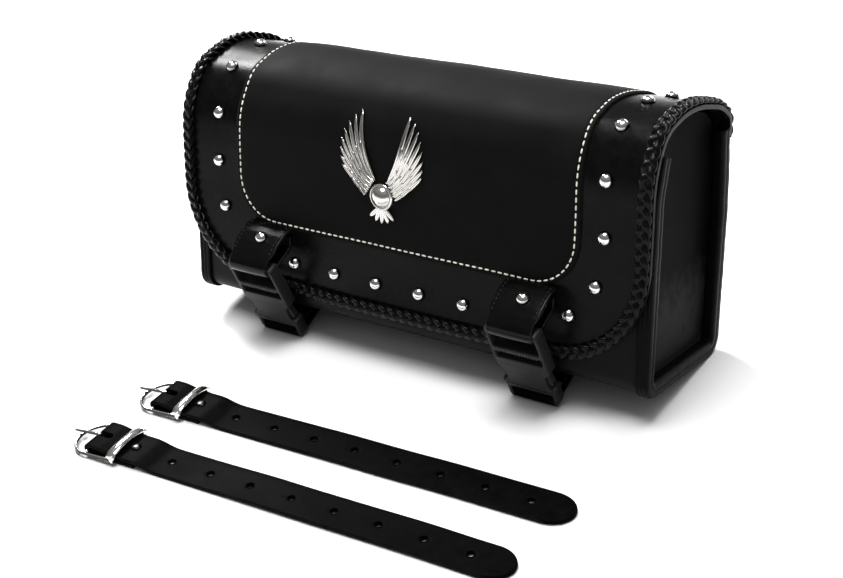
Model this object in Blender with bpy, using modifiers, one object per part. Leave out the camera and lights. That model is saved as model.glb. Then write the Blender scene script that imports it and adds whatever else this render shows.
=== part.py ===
"""Leatherette motorcycle saddlebag with two side-release buckles and two loose mounting straps.

Lengths are in metres and +Z is up. The set stands on the plane z = 0, and the origin lies in that
plane under the middle of its bounding box. The bag is drawn in an upright frame of its own: x along
its width, y from front to back, z up, with z = 0 at the lowest point of the end rims. It then leans
back as it does on a table, where it rests on the buckle anchors and on the back of the end rims.
"""

import math

import bmesh
import bpy
from mathutils import Matrix, Vector

MM = 0.001
GAP = 0.3 * MM

# Bag body, in the bag's own frame
BAG_WIDTH = 310 * MM
BODY_DEPTH = 86 * MM
BODY_BOTTOM = 2.5 * MM
FRONT_TOP = 131 * MM
BACK_TOP = 120.5 * MM
BODY_CORNER = 9 * MM
FRONT_LEAN = (110 * MM, math.radians(17.2), 40 * MM)
BACK_LEAN = (85 * MM, math.radians(3.9), 60 * MM)
LEATHER = 2.2 * MM
BOARD = 1.8 * MM
LINING = 0.7 * MM
END_INSET = 9.5 * MM
BINDING = 1.6 * MM
BINDING_REACH = 8.5 * MM

# Lid, a sheet from the back edge over the top and down the front
LID_WIDTH = 313 * MM
LID_X = -2.5 * MM
LID_LEATHER = 2.4 * MM
LID_FRONT_Y = -47.6 * MM
LID_BACK_Y = 44.5 * MM
LID_BACK_EDGE = 123.5 * MM
LID_FRONT_EDGE = 14.0 * MM
LID_CORNER = 60 * MM
LID_PANEL_HALF = 115.5 * MM
LID_PANEL_BOTTOM = 56 * MM
LID_PANEL_CORNER = 28 * MM
LID_PANEL_LEATHER = 1.4 * MM
BRAID_WIDTH = 8.0 * MM
BRAID_HEIGHT = 3.2 * MM
STUD_RADIUS = 3.8 * MM
STUD_HEIGHT = 3.0 * MM

# Side-release buckles: t runs across, s up from the lower end, n out of the face
BUCKLE_X = 89 * MM
BUCKLE_LENGTH = 60 * MM
SOCKET_WIDTH = 33 * MM
PLUG_WIDTH = 31 * MM
BUCKLE_THICKNESS = 8.0 * MM
TAB_WIDTH = 27.6 * MM
TAB_LEATHER = 2.2 * MM
ANCHOR_WIDTH = 25.4 * MM
ANCHOR_LEATHER = 1.6 * MM
BUCKLE_TOP_BAR = (-68.2 * MM, 35.7 * MM)
BUCKLE_SLOPE = math.radians(59.5)
TOP_BAR_S = 57.5 * MM
BASE_BAR_S = 3.0 * MM
TOP_BAR_HALF = 2.0 * MM
BASE_BAR_HALF = 1.8 * MM
CAVITY_HALF = 13.2 * MM
CAVITY_DEPTH = 2.4 * MM
SOCKET_S = 12.4 * MM
PLUG_BASE_S = 12.0 * MM
ARM_PIVOT = (9.5 * MM, 13.5 * MM)
WINDOW_S = (15.1 * MM, 27.6 * MM)
CAVITY_TOP = 32.6 * MM
LADDER_S = (34.6 * MM, 40.2 * MM, 43.8 * MM)
ARM_HALF = 1.1 * MM

# Mounting straps, loose on the ground in front of the bag
STRAP_WIDTH = 23 * MM
STRAP_LEATHER = 2.4 * MM
STRAP_LENGTH = 267 * MM
STRAP_HOLES = 8
STRAP_FIRST_HOLE = 54 * MM
STRAP_HOLE_PITCH = 26.9 * MM
STRAP_HOLE_RADIUS = 2.3 * MM
FRONT_STRAP_START = (-116 * MM, -179.5 * MM)
REAR_STRAP_START = (-110 * MM, -131.7 * MM)
STRAP_TURN = math.radians(2.1)
WIRE = 1.1 * MM

BAG_X = 2 * MM
BAG_Y = 59.3 * MM
HALF_WIDTH = BAG_WIDTH / 2
HALF_DEPTH = BODY_DEPTH / 2
LID_HINGE = (43.0 * MM, LID_BACK_EDGE - 0.3 * MM)


def clear_scene():
    for thing in list(bpy.data.objects):
        bpy.data.objects.remove(thing, do_unlink=True)


def new_collection(name):
    collection = bpy.data.collections.new(name)
    bpy.context.scene.collection.children.link(collection)
    return collection


def material(name, color, roughness, metallic=0.0):
    made = bpy.data.materials.new(name)
    made.use_nodes = True
    shader = made.node_tree.nodes["Principled BSDF"]
    shader.inputs["Base Color"].default_value = (*color, 1.0)
    shader.inputs["Roughness"].default_value = roughness
    shader.inputs["Metallic"].default_value = metallic
    return made


# ---- plane geometry -------------------------------------------------------------------------

def rounded_path(corners, radii, steps=6):
    """An open polyline through the corners, each inner one turned into an arc of its radius."""
    points = [Vector(corners[0])]
    for before, corner, after, radius in zip(corners, corners[1:], corners[2:], radii):
        before, corner, after = Vector(before), Vector(corner), Vector(after)
        inward, outward = (corner - before).normalized(), (after - corner).normalized()
        turn = inward.angle_signed(outward)
        if abs(turn) < 1e-6:
            continue
        reach = radius * math.tan(abs(turn) / 2)
        side = -1 if turn > 0 else 1
        normal = Vector((-inward.y, inward.x)) * side
        centre = corner - inward * reach + normal * radius
        start = corner - inward * reach - centre
        for k in range(steps + 1):
            angle = -turn * k / steps
            swing = Matrix.Rotation(angle, 2)
            points.append(centre + swing @ start)
    points.append(Vector(corners[-1]))
    return points


def outward_normals(path):
    """Unit normals to the left of an upward screen path: out of the bag on all paths used here."""
    normals = []
    for i, _ in enumerate(path):
        before = path[max(i - 1, 0)]
        after = path[min(i + 1, len(path) - 1)]
        first = (path[i] - before).normalized() if i else (after - path[i]).normalized()
        last = (after - path[i]).normalized() if i < len(path) - 1 else first
        mean = (first + last).normalized()
        stretch = 1 / max(mean.dot(first), 0.3)
        normals.append(Vector((mean.y, -mean.x)) * stretch)
    return normals


def offset_path(path, distance):
    return [p + n * distance for p, n in zip(path, outward_normals(path))]


def arc_points(centre, radius, start, end, steps):
    angles = [start + (end - start) * k / steps for k in range(steps + 1)]
    return [Vector((centre[0] + radius * math.cos(a), centre[1] + radius * math.sin(a))) for a in angles]


def tangent_angle(centre, radius, point, side):
    """Direction from the centre to where a line from the point touches the circle."""
    away = Vector(point) - Vector(centre)
    return math.atan2(away.y, away.x) + side * math.acos(radius / away.length)


# ---- how the bag leans ----------------------------------------------------------------------

BUCKLE_DOWN = Vector((math.cos(BUCKLE_SLOPE), -math.sin(BUCKLE_SLOPE)))
BUCKLE_OUT = Vector((-math.sin(BUCKLE_SLOPE), -math.cos(BUCKLE_SLOPE)))
BASE_BAR = Vector(BUCKLE_TOP_BAR) + BUCKLE_DOWN * (TOP_BAR_S - BASE_BAR_S)
ANCHOR_INNER = BASE_BAR_HALF * math.sqrt(2) + GAP
ANCHOR_OUTER = ANCHOR_INNER + ANCHOR_LEATHER
RIM_OUT = BINDING + GAP
RIM_CORNER = BODY_CORNER + RIM_OUT
RIM_CENTRE = Vector((HALF_DEPTH - BODY_CORNER, BODY_BOTTOM + BODY_CORNER))


def lean_angle():
    """Slope of the line that touches the anchor loop and the back rim corner from below."""
    run = RIM_CENTRE - BASE_BAR
    return math.atan2(run.y, run.x) - math.asin((RIM_CORNER - ANCHOR_OUTER) / run.length)


LEAN = lean_angle()
RIM_HEIGHT = -RIM_CENTRE.x * math.sin(LEAN) + RIM_CENTRE.y * math.cos(LEAN)
STANDING = RIM_CORNER - RIM_HEIGHT + 0.02 * MM
BAG_FRAME = Matrix.Translation((BAG_X, BAG_Y, STANDING)) @ Matrix.Rotation(-LEAN, 4, "X")
LID_FRAME = BAG_FRAME @ Matrix.Translation((LID_X, 0, 0))


# ---- objects --------------------------------------------------------------------------------

def empty(name, matrix, collection):
    pivot = bpy.data.objects.new(name, None)
    pivot.empty_display_size = 0.02
    pivot.matrix_world = matrix
    collection.objects.link(pivot)
    return pivot


def add_object(name, bm, finish, collection, pivot=None, frame=Matrix()):
    """An object from a bmesh drawn in the given frame, with its origin on its pivot."""
    bmesh.ops.recalc_face_normals(bm, faces=bm.faces)
    mesh = bpy.data.meshes.new(name)
    bm.to_mesh(mesh)
    bm.free()
    if finish:
        mesh.materials.append(finish)
    thing = bpy.data.objects.new(name, mesh)
    collection.objects.link(thing)
    origin = pivot.matrix_world if pivot else frame
    mesh.transform(origin.inverted() @ frame)
    if pivot:
        thing.parent = pivot
    else:
        thing.matrix_world = frame
    return thing


def solidify(thing, thickness, offset=-1.0):
    shell = thing.modifiers.new("Thickness", "SOLIDIFY")
    shell.thickness = thickness
    shell.offset = offset
    shell.use_even_offset = True
    return shell


def cut(thing, cutter, operation="DIFFERENCE"):
    boolean = thing.modifiers.new("Cut", "BOOLEAN")
    boolean.operation = operation
    boolean.object = cutter
    boolean.solver = "EXACT"


def sheet_rows(bm, rows):
    """Quads between rows of points, faced to the side that the rows' outward normals take."""
    made = [[bm.verts.new(p) for p in row] for row in rows]
    for upper, lower in zip(made, made[1:]):
        for k in range(len(upper) - 1):
            bm.faces.new((upper[k + 1], upper[k], lower[k], lower[k + 1]))
    return made


def sheet(name, rows, thickness, finish, collection, pivot=None, frame=Matrix(), offset=-1.0):
    """A sheet through rows of points, given its thickness."""
    bm = bmesh.new()
    sheet_rows(bm, rows)
    mesh = bpy.data.meshes.new(name)
    bm.to_mesh(mesh)
    bm.free()
    mesh.materials.append(finish)
    thing = bpy.data.objects.new(name, mesh)
    collection.objects.link(thing)
    origin = pivot.matrix_world if pivot else frame
    mesh.transform(origin.inverted() @ frame)
    if pivot:
        thing.parent = pivot
    else:
        thing.matrix_world = frame
    solidify(thing, thickness, offset)
    return thing


def profile_rows(path, half, centre=0.0):
    """Rows along x for a profile drawn in the y-z plane."""
    return [(Vector((centre - half, p.x, p.y)), Vector((centre + half, p.x, p.y))) for p in path]


def loft(bm, rings):
    """A closed body through rings of equally many points."""
    made = [[bm.verts.new(p) for p in ring] for ring in rings]
    count = len(made[0])
    for one, two in zip(made, made[1:]):
        for k in range(count):
            after = (k + 1) % count
            bm.faces.new((one[k], one[after], two[after], two[k]))
    bm.faces.new(made[0][::-1])
    bm.faces.new(made[-1])


def box(bm, low, high):
    made = bmesh.ops.create_cube(bm, size=1.0)["verts"]
    low, high = Vector(low), Vector(high)
    size = high - low
    bmesh.ops.scale(bm, vec=size, verts=made)
    bmesh.ops.translate(bm, vec=(low + high) / 2, verts=made)
    return made


def add_dome(bm, radius, height, matrix, segments=10, rings=8):
    """A flat-bottomed dome on the plane z = 0 of the matrix."""
    ball = bmesh.new()
    bmesh.ops.create_uvsphere(ball, u_segments=segments, v_segments=rings, radius=radius)
    bmesh.ops.bisect_plane(
        ball, geom=ball.verts[:] + ball.edges[:] + ball.faces[:], plane_co=(0, 0, 0),
        plane_no=(0, 0, 1), clear_inner=True,
    )
    rim = [edge for edge in ball.edges if edge.is_boundary]
    bmesh.ops.contextual_create(ball, geom=rim)
    bmesh.ops.scale(ball, vec=(1, 1, height / radius), verts=ball.verts)
    bmesh.ops.transform(ball, matrix=matrix, verts=ball.verts)
    joined = bpy.data.meshes.new("dome")
    ball.to_mesh(joined)
    ball.free()
    bm.from_mesh(joined)
    bpy.data.meshes.remove(joined)


def outline_body(bm, outline, low, high):
    """A plate from an outline in x-y between two heights."""
    loft(bm, [[Vector((p[0], p[1], h)) for p in outline] for h in (low, high)])


# ---- bag body -------------------------------------------------------------------------------

def body_path(inset=0.0, front_top=FRONT_TOP, back_top=BACK_TOP):
    """Down the front, along the bottom and up the back, as far inside the outer face as inset.

    Both walls lean inwards from a height of their own up to their top.
    """
    front, back = -HALF_DEPTH + inset, HALF_DEPTH - inset
    bottom, corner = BODY_BOTTOM + inset, BODY_CORNER - inset
    leans = []
    for (height, angle, bend), top in ((FRONT_LEAN, front_top), (BACK_LEAN, back_top)):
        start = height - inset * math.tan(angle / 2)
        leans.append((start, max(top - start, 0.0) * math.tan(angle), bend - inset))
    (front_start, front_in, front_bend), (back_start, back_in, back_bend) = leans
    corners = [
        (front + front_in, front_top), (front, front_start), (front, bottom), (back, bottom), (back, back_start),
        (back - back_in, back_top),
    ]
    return rounded_path(corners, [front_bend, corner, corner, back_bend])


def make_wrap(finish, parts):
    rows = profile_rows(body_path(), HALF_WIDTH - RIM_OUT)
    return sheet("body_wrap", rows, LEATHER, finish, parts, frame=BAG_FRAME)


def end_panel_outline(inset):
    """The inside of the body's section, closed by the tongue that rises into the lid."""
    path = body_path(inset, FRONT_TOP - 6 * MM, BACK_TOP - 2 * MM)
    front, back = path[0], path[-1]
    crown = [
        (back.x, 133 * MM), (27 * MM, 141 * MM), (4 * MM, 146.6 * MM), (-10 * MM, 145.6 * MM), (-29 * MM, 138 * MM),
        tuple(front),
    ]
    top = rounded_path([tuple(back)] + crown, [6 * MM, 20 * MM, 40 * MM, 40 * MM, 15 * MM], 4)
    return path + top[1:-1], len(path)


def make_end_panel(side, name, finish, parts):
    """A tray: the inset end and the flange that is sewn to the wrap all round below the lid."""
    inset = LEATHER + GAP + BOARD
    outline, sewn = end_panel_outline(inset)
    inner_x, outer_x = side * (HALF_WIDTH - END_INSET), side * (HALF_WIDTH - RIM_OUT)
    bm = bmesh.new()
    ring = [bm.verts.new((inner_x, p.x, p.y)) for p in outline]
    rim = [bm.verts.new((outer_x, p.x, p.y)) for p in outline[:sewn]]
    panel = bm.faces.new(ring)
    for k in range(sewn - 1):
        bm.faces.new((ring[k + 1], ring[k], rim[k], rim[k + 1]))
    bmesh.ops.recalc_face_normals(bm, faces=bm.faces)
    if panel.normal.x * side < 0:
        bmesh.ops.reverse_faces(bm, faces=bm.faces)
    mesh = bpy.data.meshes.new(name)
    bm.to_mesh(mesh)
    bm.free()
    mesh.materials.append(finish)
    thing = bpy.data.objects.new(name, mesh)
    thing.matrix_world = BAG_FRAME
    parts.objects.link(thing)
    solidify(thing, BOARD)


def make_binding(side, name, finish, parts):
    """A U-shaped band folded over the sewn edges of the wrap and the end panel."""
    path = body_path()
    outer_x, reach_x = HALF_WIDTH, HALF_WIDTH - BINDING_REACH
    wall_x = HALF_WIDTH - RIM_OUT + GAP
    inside = -(LEATHER + GAP + BOARD + GAP)
    section = [
        (RIM_OUT, reach_x), (RIM_OUT, outer_x), (inside - 1.4 * MM, outer_x), (inside - 1.4 * MM, reach_x + MM),
        (inside, reach_x + MM), (inside, wall_x), (GAP, wall_x), (GAP, reach_x),
    ]
    bm = bmesh.new()
    normals = outward_normals(path)
    rings = []
    for p, n in zip(path, normals):
        rings.append([Vector((side * x, p.x + n.x * out, p.y + n.y * out)) for out, x in section])
    loft(bm, rings)
    return add_object(name, bm, finish, parts, frame=BAG_FRAME)


def make_boards(finish, parts):
    """A stiffener bent from one board round front, bottom and back, and one behind each end panel."""
    inset = LEATHER + GAP
    half = HALF_WIDTH - END_INSET - 2 * BOARD - 2 * MM
    rows = profile_rows(body_path(inset, FRONT_TOP - 4 * MM, BACK_TOP - 4 * MM), half)
    sheet("body_board", rows, BOARD, finish, parts, frame=BAG_FRAME)
    deep = HALF_DEPTH - inset - BOARD - 2 * MM
    low, high = BODY_BOTTOM + BODY_CORNER, 106 * MM
    for side, name in ((-1, "end_board_left"), (1, "end_board_right")):
        outer_x = HALF_WIDTH - END_INSET - BOARD - GAP
        bm = bmesh.new()
        ends = sorted((side * outer_x, side * (outer_x - 1.4 * MM)))
        box(bm, (ends[0], -deep, low), (ends[1], deep, high))
        add_object(name, bm, finish, parts, frame=BAG_FRAME)


def make_lining(finish, parts):
    """An open-topped fabric box inside the boards."""
    inset = LEATHER + BOARD + 2 * GAP
    path = body_path(inset, FRONT_TOP - 3 * MM, BACK_TOP - 3 * MM)
    half = HALF_WIDTH - END_INSET - BOARD - 1.4 * MM - 2 * GAP
    bm = bmesh.new()
    rows = sheet_rows(bm, profile_rows(path, half))
    bm.faces.new([row[0] for row in rows])
    bm.faces.new([row[1] for row in reversed(rows)])
    bmesh.ops.recalc_face_normals(bm, faces=bm.faces)
    bottom = min(bm.faces, key=lambda face: face.calc_center_median().z)
    if bottom.normal.z > 0:
        bmesh.ops.reverse_faces(bm, faces=bm.faces)
    mesh = bpy.data.meshes.new("lining")
    bm.to_mesh(mesh)
    bm.free()
    mesh.materials.append(finish)
    thing = bpy.data.objects.new("lining", mesh)
    thing.matrix_world = BAG_FRAME
    parts.objects.link(thing)
    solidify(thing, LINING)


LOOP_X = 78 * MM
LOOP_HEIGHT = 34 * MM
LOOP_Z = 66 * MM
LOOP_CLEAR = 14.5 * MM
LOOP_FOOT = 11 * MM
LOOP_RISE = 8.0 * MM
LOOP_LEATHER = 1.8 * MM


def make_back_loops(finish, parts):
    """Two keepers on the back for the mounting straps, each sewn down at both feet."""
    surface = HALF_DEPTH + GAP + LOOP_LEATHER / 2
    for side, name in ((-1, "strap_loop_left"), (1, "strap_loop_right")):
        centre = side * LOOP_X
        end, shoulder = LOOP_CLEAR + LOOP_FOOT, LOOP_CLEAR + 2.5 * MM
        corners = [
            (centre + end, surface), (centre + shoulder, surface),
            (centre + LOOP_CLEAR - 1.5 * MM, surface + LOOP_RISE), (centre - LOOP_CLEAR + 1.5 * MM, surface + LOOP_RISE),
            (centre - shoulder, surface), (centre - end, surface),
        ]
        path = rounded_path(corners, [1.5 * MM] * 4, 3)
        low, high = LOOP_Z - LOOP_HEIGHT / 2, LOOP_Z + LOOP_HEIGHT / 2
        rows = [(Vector((p.x, p.y, low)), Vector((p.x, p.y, high))) for p in path]
        sheet(name, rows, LOOP_LEATHER, finish, parts, frame=BAG_FRAME, offset=0.0)


# ---- lid ------------------------------------------------------------------------------------

def lid_profile():
    """Outer face of the lid from its back edge, over the top, to its front edge."""
    corners = [
        (LID_BACK_Y, LID_BACK_EDGE), (LID_BACK_Y, 137.4 * MM), (30 * MM, 146 * MM), (4 * MM, 151.2 * MM),
        (-14 * MM, 150.2 * MM), (-36 * MM, 142.5 * MM), (LID_FRONT_Y, 121 * MM), (LID_FRONT_Y, LID_FRONT_EDGE),
    ]
    return rounded_path(corners, [9 * MM, 40 * MM, 60 * MM, 60 * MM, 22 * MM, 45 * MM], 5)


LID_PATH = lid_profile()
LID_STATIONS = [0.0]
for one, two in zip(LID_PATH, LID_PATH[1:]):
    LID_STATIONS.append(LID_STATIONS[-1] + (two - one).length)
LID_LENGTH = LID_STATIONS[-1]
LID_NORMALS = outward_normals(LID_PATH)


def front_station(height):
    """Distance along the lid to a height on its flat front."""
    return LID_LENGTH - (height - LID_FRONT_EDGE)


def lid_point(x, s, out=0.0):
    """A point of the lid at x, at distance s along its profile, raised by out."""
    s = min(max(s, 0.0), LID_LENGTH)
    k = max(i for i, station in enumerate(LID_STATIONS[:-1]) if station <= s + 1e-9)
    share = (s - LID_STATIONS[k]) / (LID_STATIONS[k + 1] - LID_STATIONS[k])
    at = LID_PATH[k].lerp(LID_PATH[k + 1], share)
    normal = LID_NORMALS[k].lerp(LID_NORMALS[k + 1], share)
    return Vector((x, at.x + normal.x * out, at.y + normal.y * out))


def lid_normal(s):
    k = max(i for i, station in enumerate(LID_STATIONS[:-1]) if station <= s + 1e-9)
    share = (s - LID_STATIONS[k]) / (LID_STATIONS[k + 1] - LID_STATIONS[k])
    normal = LID_NORMALS[k].lerp(LID_NORMALS[k + 1], share).normalized()
    return Vector((0, normal.x, normal.y))


def corner_inset(distance, radius):
    """How far an outline with a rounded corner draws in, at a distance from its end."""
    if distance >= radius:
        return 0.0
    return radius - math.sqrt(max(radius * radius - (radius - distance) ** 2, 0.0))


def lid_sheet_rows(start, end, half, start_corner, end_corner, out):
    """Rows of a sheet that lies on the lid, with rounded corners at both ends."""
    stations = {start, end}
    stations.update(s for s in LID_STATIONS if start < s < end)
    for k in range(1, 9):
        share = 1 - math.cos(math.pi / 2 * k / 8)
        stations.add(start + start_corner * share)
        stations.add(end - end_corner * share)
    rows = []
    for s in sorted(stations):
        if rows and s - rows[-1][0] < 0.05 * MM:
            continue
        inset = max(corner_inset(s - start, start_corner), corner_inset(end - s, end_corner))
        width = max(half - inset, half - max(start_corner, end_corner) + 0.1 * MM)
        rows.append((s, (lid_point(-width, s, out), lid_point(width, s, out))))
    return [row for _, row in rows]


def make_lid_sheets(leather, nubuck, cloth, parts, pivot):
    half = LID_WIDTH / 2
    rows = lid_sheet_rows(0, LID_LENGTH, half, 5 * MM, LID_CORNER, 0.0)
    sheet("lid_shell", rows, LID_LEATHER, leather, parts, pivot, LID_FRAME)
    rows = lid_sheet_rows(
        10 * MM, front_station(LID_PANEL_BOTTOM), LID_PANEL_HALF, 10 * MM, LID_PANEL_CORNER, GAP + LID_PANEL_LEATHER
    )
    sheet("lid_panel", rows, LID_PANEL_LEATHER, nubuck, parts, pivot, LID_FRAME)
    rows = lid_sheet_rows(
        8 * MM, LID_LENGTH - 14 * MM, HALF_WIDTH - 16 * MM, 4 * MM, 40 * MM, -LID_LEATHER - GAP
    )
    sheet("lid_lining", rows, LINING, cloth, parts, pivot, LID_FRAME)


def make_braid(finish, parts, pivot):
    """The plaited edging as a plain band with an oval section along three sides of the lid."""
    half, inset = LID_WIDTH / 2, BRAID_WIDTH / 2
    line = half - inset
    corners = [(line, 1.5 * MM), (line, LID_LENGTH - inset), (-line, LID_LENGTH - inset), (-line, 1.5 * MM)]
    radius = LID_CORNER - inset
    route = rounded_path(corners, [radius, radius], 12)
    stations = []
    for one, two in zip(route, route[1:]):
        stations.append(one)
        if abs(one.x - two.x) < 1e-9:
            between = [s for s in LID_STATIONS if min(one.y, two.y) < s < max(one.y, two.y)]
            stations.extend(Vector((one.x, s)) for s in sorted(between, reverse=one.y > two.y))
    stations.append(route[-1])
    across = outward_normals(stations)
    rings = []
    for p, n in zip(stations, across):
        ring = []
        for k in range(8):
            angle = math.tau * (k + 0.5) / 8
            wide, high = math.cos(angle) * BRAID_WIDTH / 2, (1 + math.sin(angle) * 1.04) * BRAID_HEIGHT / 2
            ring.append(lid_point(p.x + n.x * wide, min(p.y + n.y * wide, LID_LENGTH), max(high, 0.1 * MM) + GAP))
        rings.append(ring)
    bm = bmesh.new()
    loft(bm, rings)
    return add_object("lid_braid", bm, finish, parts, pivot, LID_FRAME)


def stud_places():
    """(x, station) of the studs round the lid's edge, without those on the tabs."""
    low_row = [(side * x * MM, front_station(33 * MM)) for side in (-1, 1) for x in (14.9, 44.5, 74)]
    columns = ((111, 41.5), (126, 60.5), (130, 88), (129.5, 117.5))
    sides = [(side * x * MM, front_station(z * MM)) for side in (-1, 1) for x, z in columns]
    shoulder = front_station(117.5 * MM)
    arch = [(side * 130.5 * MM, shoulder - 29 * MM * k) for side in (-1, 1) for k in (1, 2, 3, 4)]
    return low_row + sides + arch


def stud_frame(x, s, out):
    at, up = lid_point(x, s, out), lid_normal(s)
    return Matrix.Translation(at) @ up.to_track_quat("Z", "Y").to_matrix().to_4x4()


def make_studs(metal, parts, pivot):
    for number, (x, s) in enumerate(stud_places(), 1):
        bm = bmesh.new()
        add_dome(bm, STUD_RADIUS, STUD_HEIGHT, stud_frame(x, s, GAP), 8, 6)
        add_object(f"lid_stud_{number:02d}", bm, metal, parts, pivot, LID_FRAME)


def make_emblem(metal, parts, pivot):
    """A round boss between two plain raised wings, fixed to the lid panel."""
    centre_x, centre_z = -8 * MM, 84 * MM
    upper, lower = [], []
    feathers = 5
    for k in range(feathers):
        angle = math.radians(78 - 11 * k)
        reach = (52 - 4.5 * k) * MM
        tip = Vector((math.cos(angle) * reach * 0.62, math.sin(angle) * reach))
        notch = Vector((math.cos(angle - 0.1) * reach * 0.55, math.sin(angle - 0.1) * reach * 0.84))
        upper.extend((tip, notch))
    lower.append(Vector((7 * MM, -4 * MM)))
    wing = upper + lower
    outline = wing + [Vector((0, -10 * MM))] + [Vector((-p.x, p.y)) for p in reversed(wing)] + [Vector((0, 12 * MM))]
    surface = LID_FRONT_Y - GAP - LID_PANEL_LEATHER - GAP
    frame = LID_FRAME @ Matrix.Translation((centre_x, surface, centre_z)) @ Matrix.Rotation(math.pi / 2, 4, "X")
    bm = bmesh.new()
    outline_body(bm, outline, 0.0, 2.4 * MM)
    for k in range(6):
        height = (20 + 5 * k) * MM
        bmesh.ops.bisect_plane(
            bm, geom=bm.verts[:] + bm.edges[:] + bm.faces[:], plane_co=(0, height, 0), plane_no=(0, 1, 0)
        )
    bmesh.ops.triangulate(bm, faces=bm.faces)
    for vert in bm.verts:
        on_lid = lid_point(0, front_station(centre_z + vert.co.y), LID_FRONT_Y - surface + vert.co.z)
        vert.co.y, vert.co.z = on_lid.z - centre_z, surface - on_lid.y
    emblem = add_object("emblem", bm, metal, parts, pivot, frame)
    boss = bmesh.new()
    add_dome(boss, 8.5 * MM, 5.5 * MM, Matrix.Translation((0, 0, 0.1 * MM)), 16, 10)
    return emblem, add_object("emblem_boss", boss, None, parts, pivot, frame)


# ---- side-release buckles -------------------------------------------------------------------

def buckle_frame(side):
    """From (t, s, n) of a buckle to the bag: t across, s up its length, n out of its face."""
    centre = side * BUCKLE_X
    up, out = -BUCKLE_DOWN, BUCKLE_OUT
    foot = Vector(BUCKLE_TOP_BAR) + BUCKLE_DOWN * TOP_BAR_S
    turn = Matrix(((1, 0, 0, centre), (0, up.x, out.x, foot.x), (0, up.y, out.y, foot.y), (0, 0, 0, 1)))
    return LID_FRAME @ turn


def make_tab(side, name, finish, parts, pivot):
    """Leather that leaves the lid, turns under the socket's top bar and comes back behind it."""
    radius = TOP_BAR_HALF * math.sqrt(2) + GAP + TAB_LEATHER / 2
    face = LID_FRONT_Y - GAP - TAB_LEATHER / 2
    front_root, back_root = (face, 54.8 * MM), (face, 42 * MM)
    start = tangent_angle(BUCKLE_TOP_BAR, radius, front_root, 1)
    end = tangent_angle(BUCKLE_TOP_BAR, radius, back_root, -1)
    while end < start:
        end += math.tau
    path = [Vector((face, LID_PANEL_BOTTOM - 0.8 * MM)), Vector(front_root)]
    path += arc_points(BUCKLE_TOP_BAR, radius, start, end, 10)
    path += [Vector(back_root), Vector((face, 50 * MM))]
    rows = profile_rows(path, TAB_WIDTH / 2, side * BUCKLE_X)
    sheet(name, rows, TAB_LEATHER, finish, parts, pivot, LID_FRAME, offset=0.0)
    return Vector(front_root), arc_points(BUCKLE_TOP_BAR, radius, start, start, 1)[0]


def make_tab_studs(root, touch, metal, parts, pivot):
    """One stud through the front of each tab, where it slopes away from the lid."""
    along = (touch - root).normalized()
    out = Vector((along.y, -along.x))
    if out.x > 0:
        out = -out
    at = root + along * 6.5 * MM + out * (TAB_LEATHER / 2 + GAP)
    normal = Vector((0, out.x, out.y))
    turn = normal.to_track_quat("Z", "Y").to_matrix().to_4x4()
    for side, name in ((-1, "tab_stud_left"), (1, "tab_stud_right")):
        bm = bmesh.new()
        place = Matrix.Translation((side * BUCKLE_X, at.x, at.y)) @ turn
        add_dome(bm, STUD_RADIUS, STUD_HEIGHT, place, 8, 6)
        add_object(name, bm, metal, parts, pivot, LID_FRAME)


def add_cutter(name, boxes, frame, cutters):
    bm = bmesh.new()
    for low, high in boxes:
        box(bm, low, high)
    cutter = add_object(name, bm, None, cutters, frame=frame)
    cutter.hide_render = True
    cutter.display_type = "WIRE"
    return cutter


def make_socket(side, name, finish, parts, cutters, pivot):
    """Upper half: a flat sleeve open below, side windows, and a ladder of bars on top."""
    half, thick = SOCKET_WIDTH / 2, BUCKLE_THICKNESS / 2
    rail = CAVITY_HALF + 1.1 * MM
    frame = buckle_frame(side)
    bm = bmesh.new()
    box(bm, (-half, SOCKET_S, -thick), (half, BUCKLE_LENGTH, thick))
    bmesh.ops.bevel(
        bm, geom=[e for e in bm.edges if abs(e.verts[0].co.y - e.verts[1].co.y) > MM],
        offset=1.2 * MM, segments=2, affect="EDGES",
    )
    socket = add_object(name, bm, finish, parts, pivot, frame)
    cavity = (-CAVITY_HALF, SOCKET_S - MM, -CAVITY_DEPTH), (CAVITY_HALF, CAVITY_TOP, CAVITY_DEPTH)
    bar_low, bar_high = TOP_BAR_S - TOP_BAR_HALF, TOP_BAR_S + TOP_BAR_HALF
    upper_slot = (-rail, LADDER_S[2], -2 * thick), (rail, bar_low, 2 * thick)
    lower_slot = (-rail, LADDER_S[0], -2 * thick), (rail, LADDER_S[1], 2 * thick)
    bar_front = (-rail, bar_low - MM, TOP_BAR_HALF), (rail, BUCKLE_LENGTH + MM, 2 * thick)
    bar_back = (-rail, bar_low - MM, -2 * thick), (rail, BUCKLE_LENGTH + MM, -TOP_BAR_HALF)
    bar_top = (-rail, bar_high, -2 * thick), (rail, BUCKLE_LENGTH + MM, 2 * thick)
    groups = {"cavity": [cavity], "slots": [upper_slot, lower_slot], "bar": [bar_front], "bar_back": [bar_back]}
    groups["bar_top"] = [bar_top]
    for key, boxes in groups.items():
        cut(socket, add_cutter(f"{name}_{key}_cutter", boxes, frame, cutters))
    wall, (low, high) = CAVITY_HALF - 0.7 * MM, WINDOW_S
    windows = [(wall, low, -2 * thick), (half + MM, high, 2 * thick)]
    mirrored = [(-half - MM, low, -2 * thick), (-wall, high, 2 * thick)]
    cut(socket, add_cutter(f"{name}_window_cutter", [windows, mirrored], frame, cutters))


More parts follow.
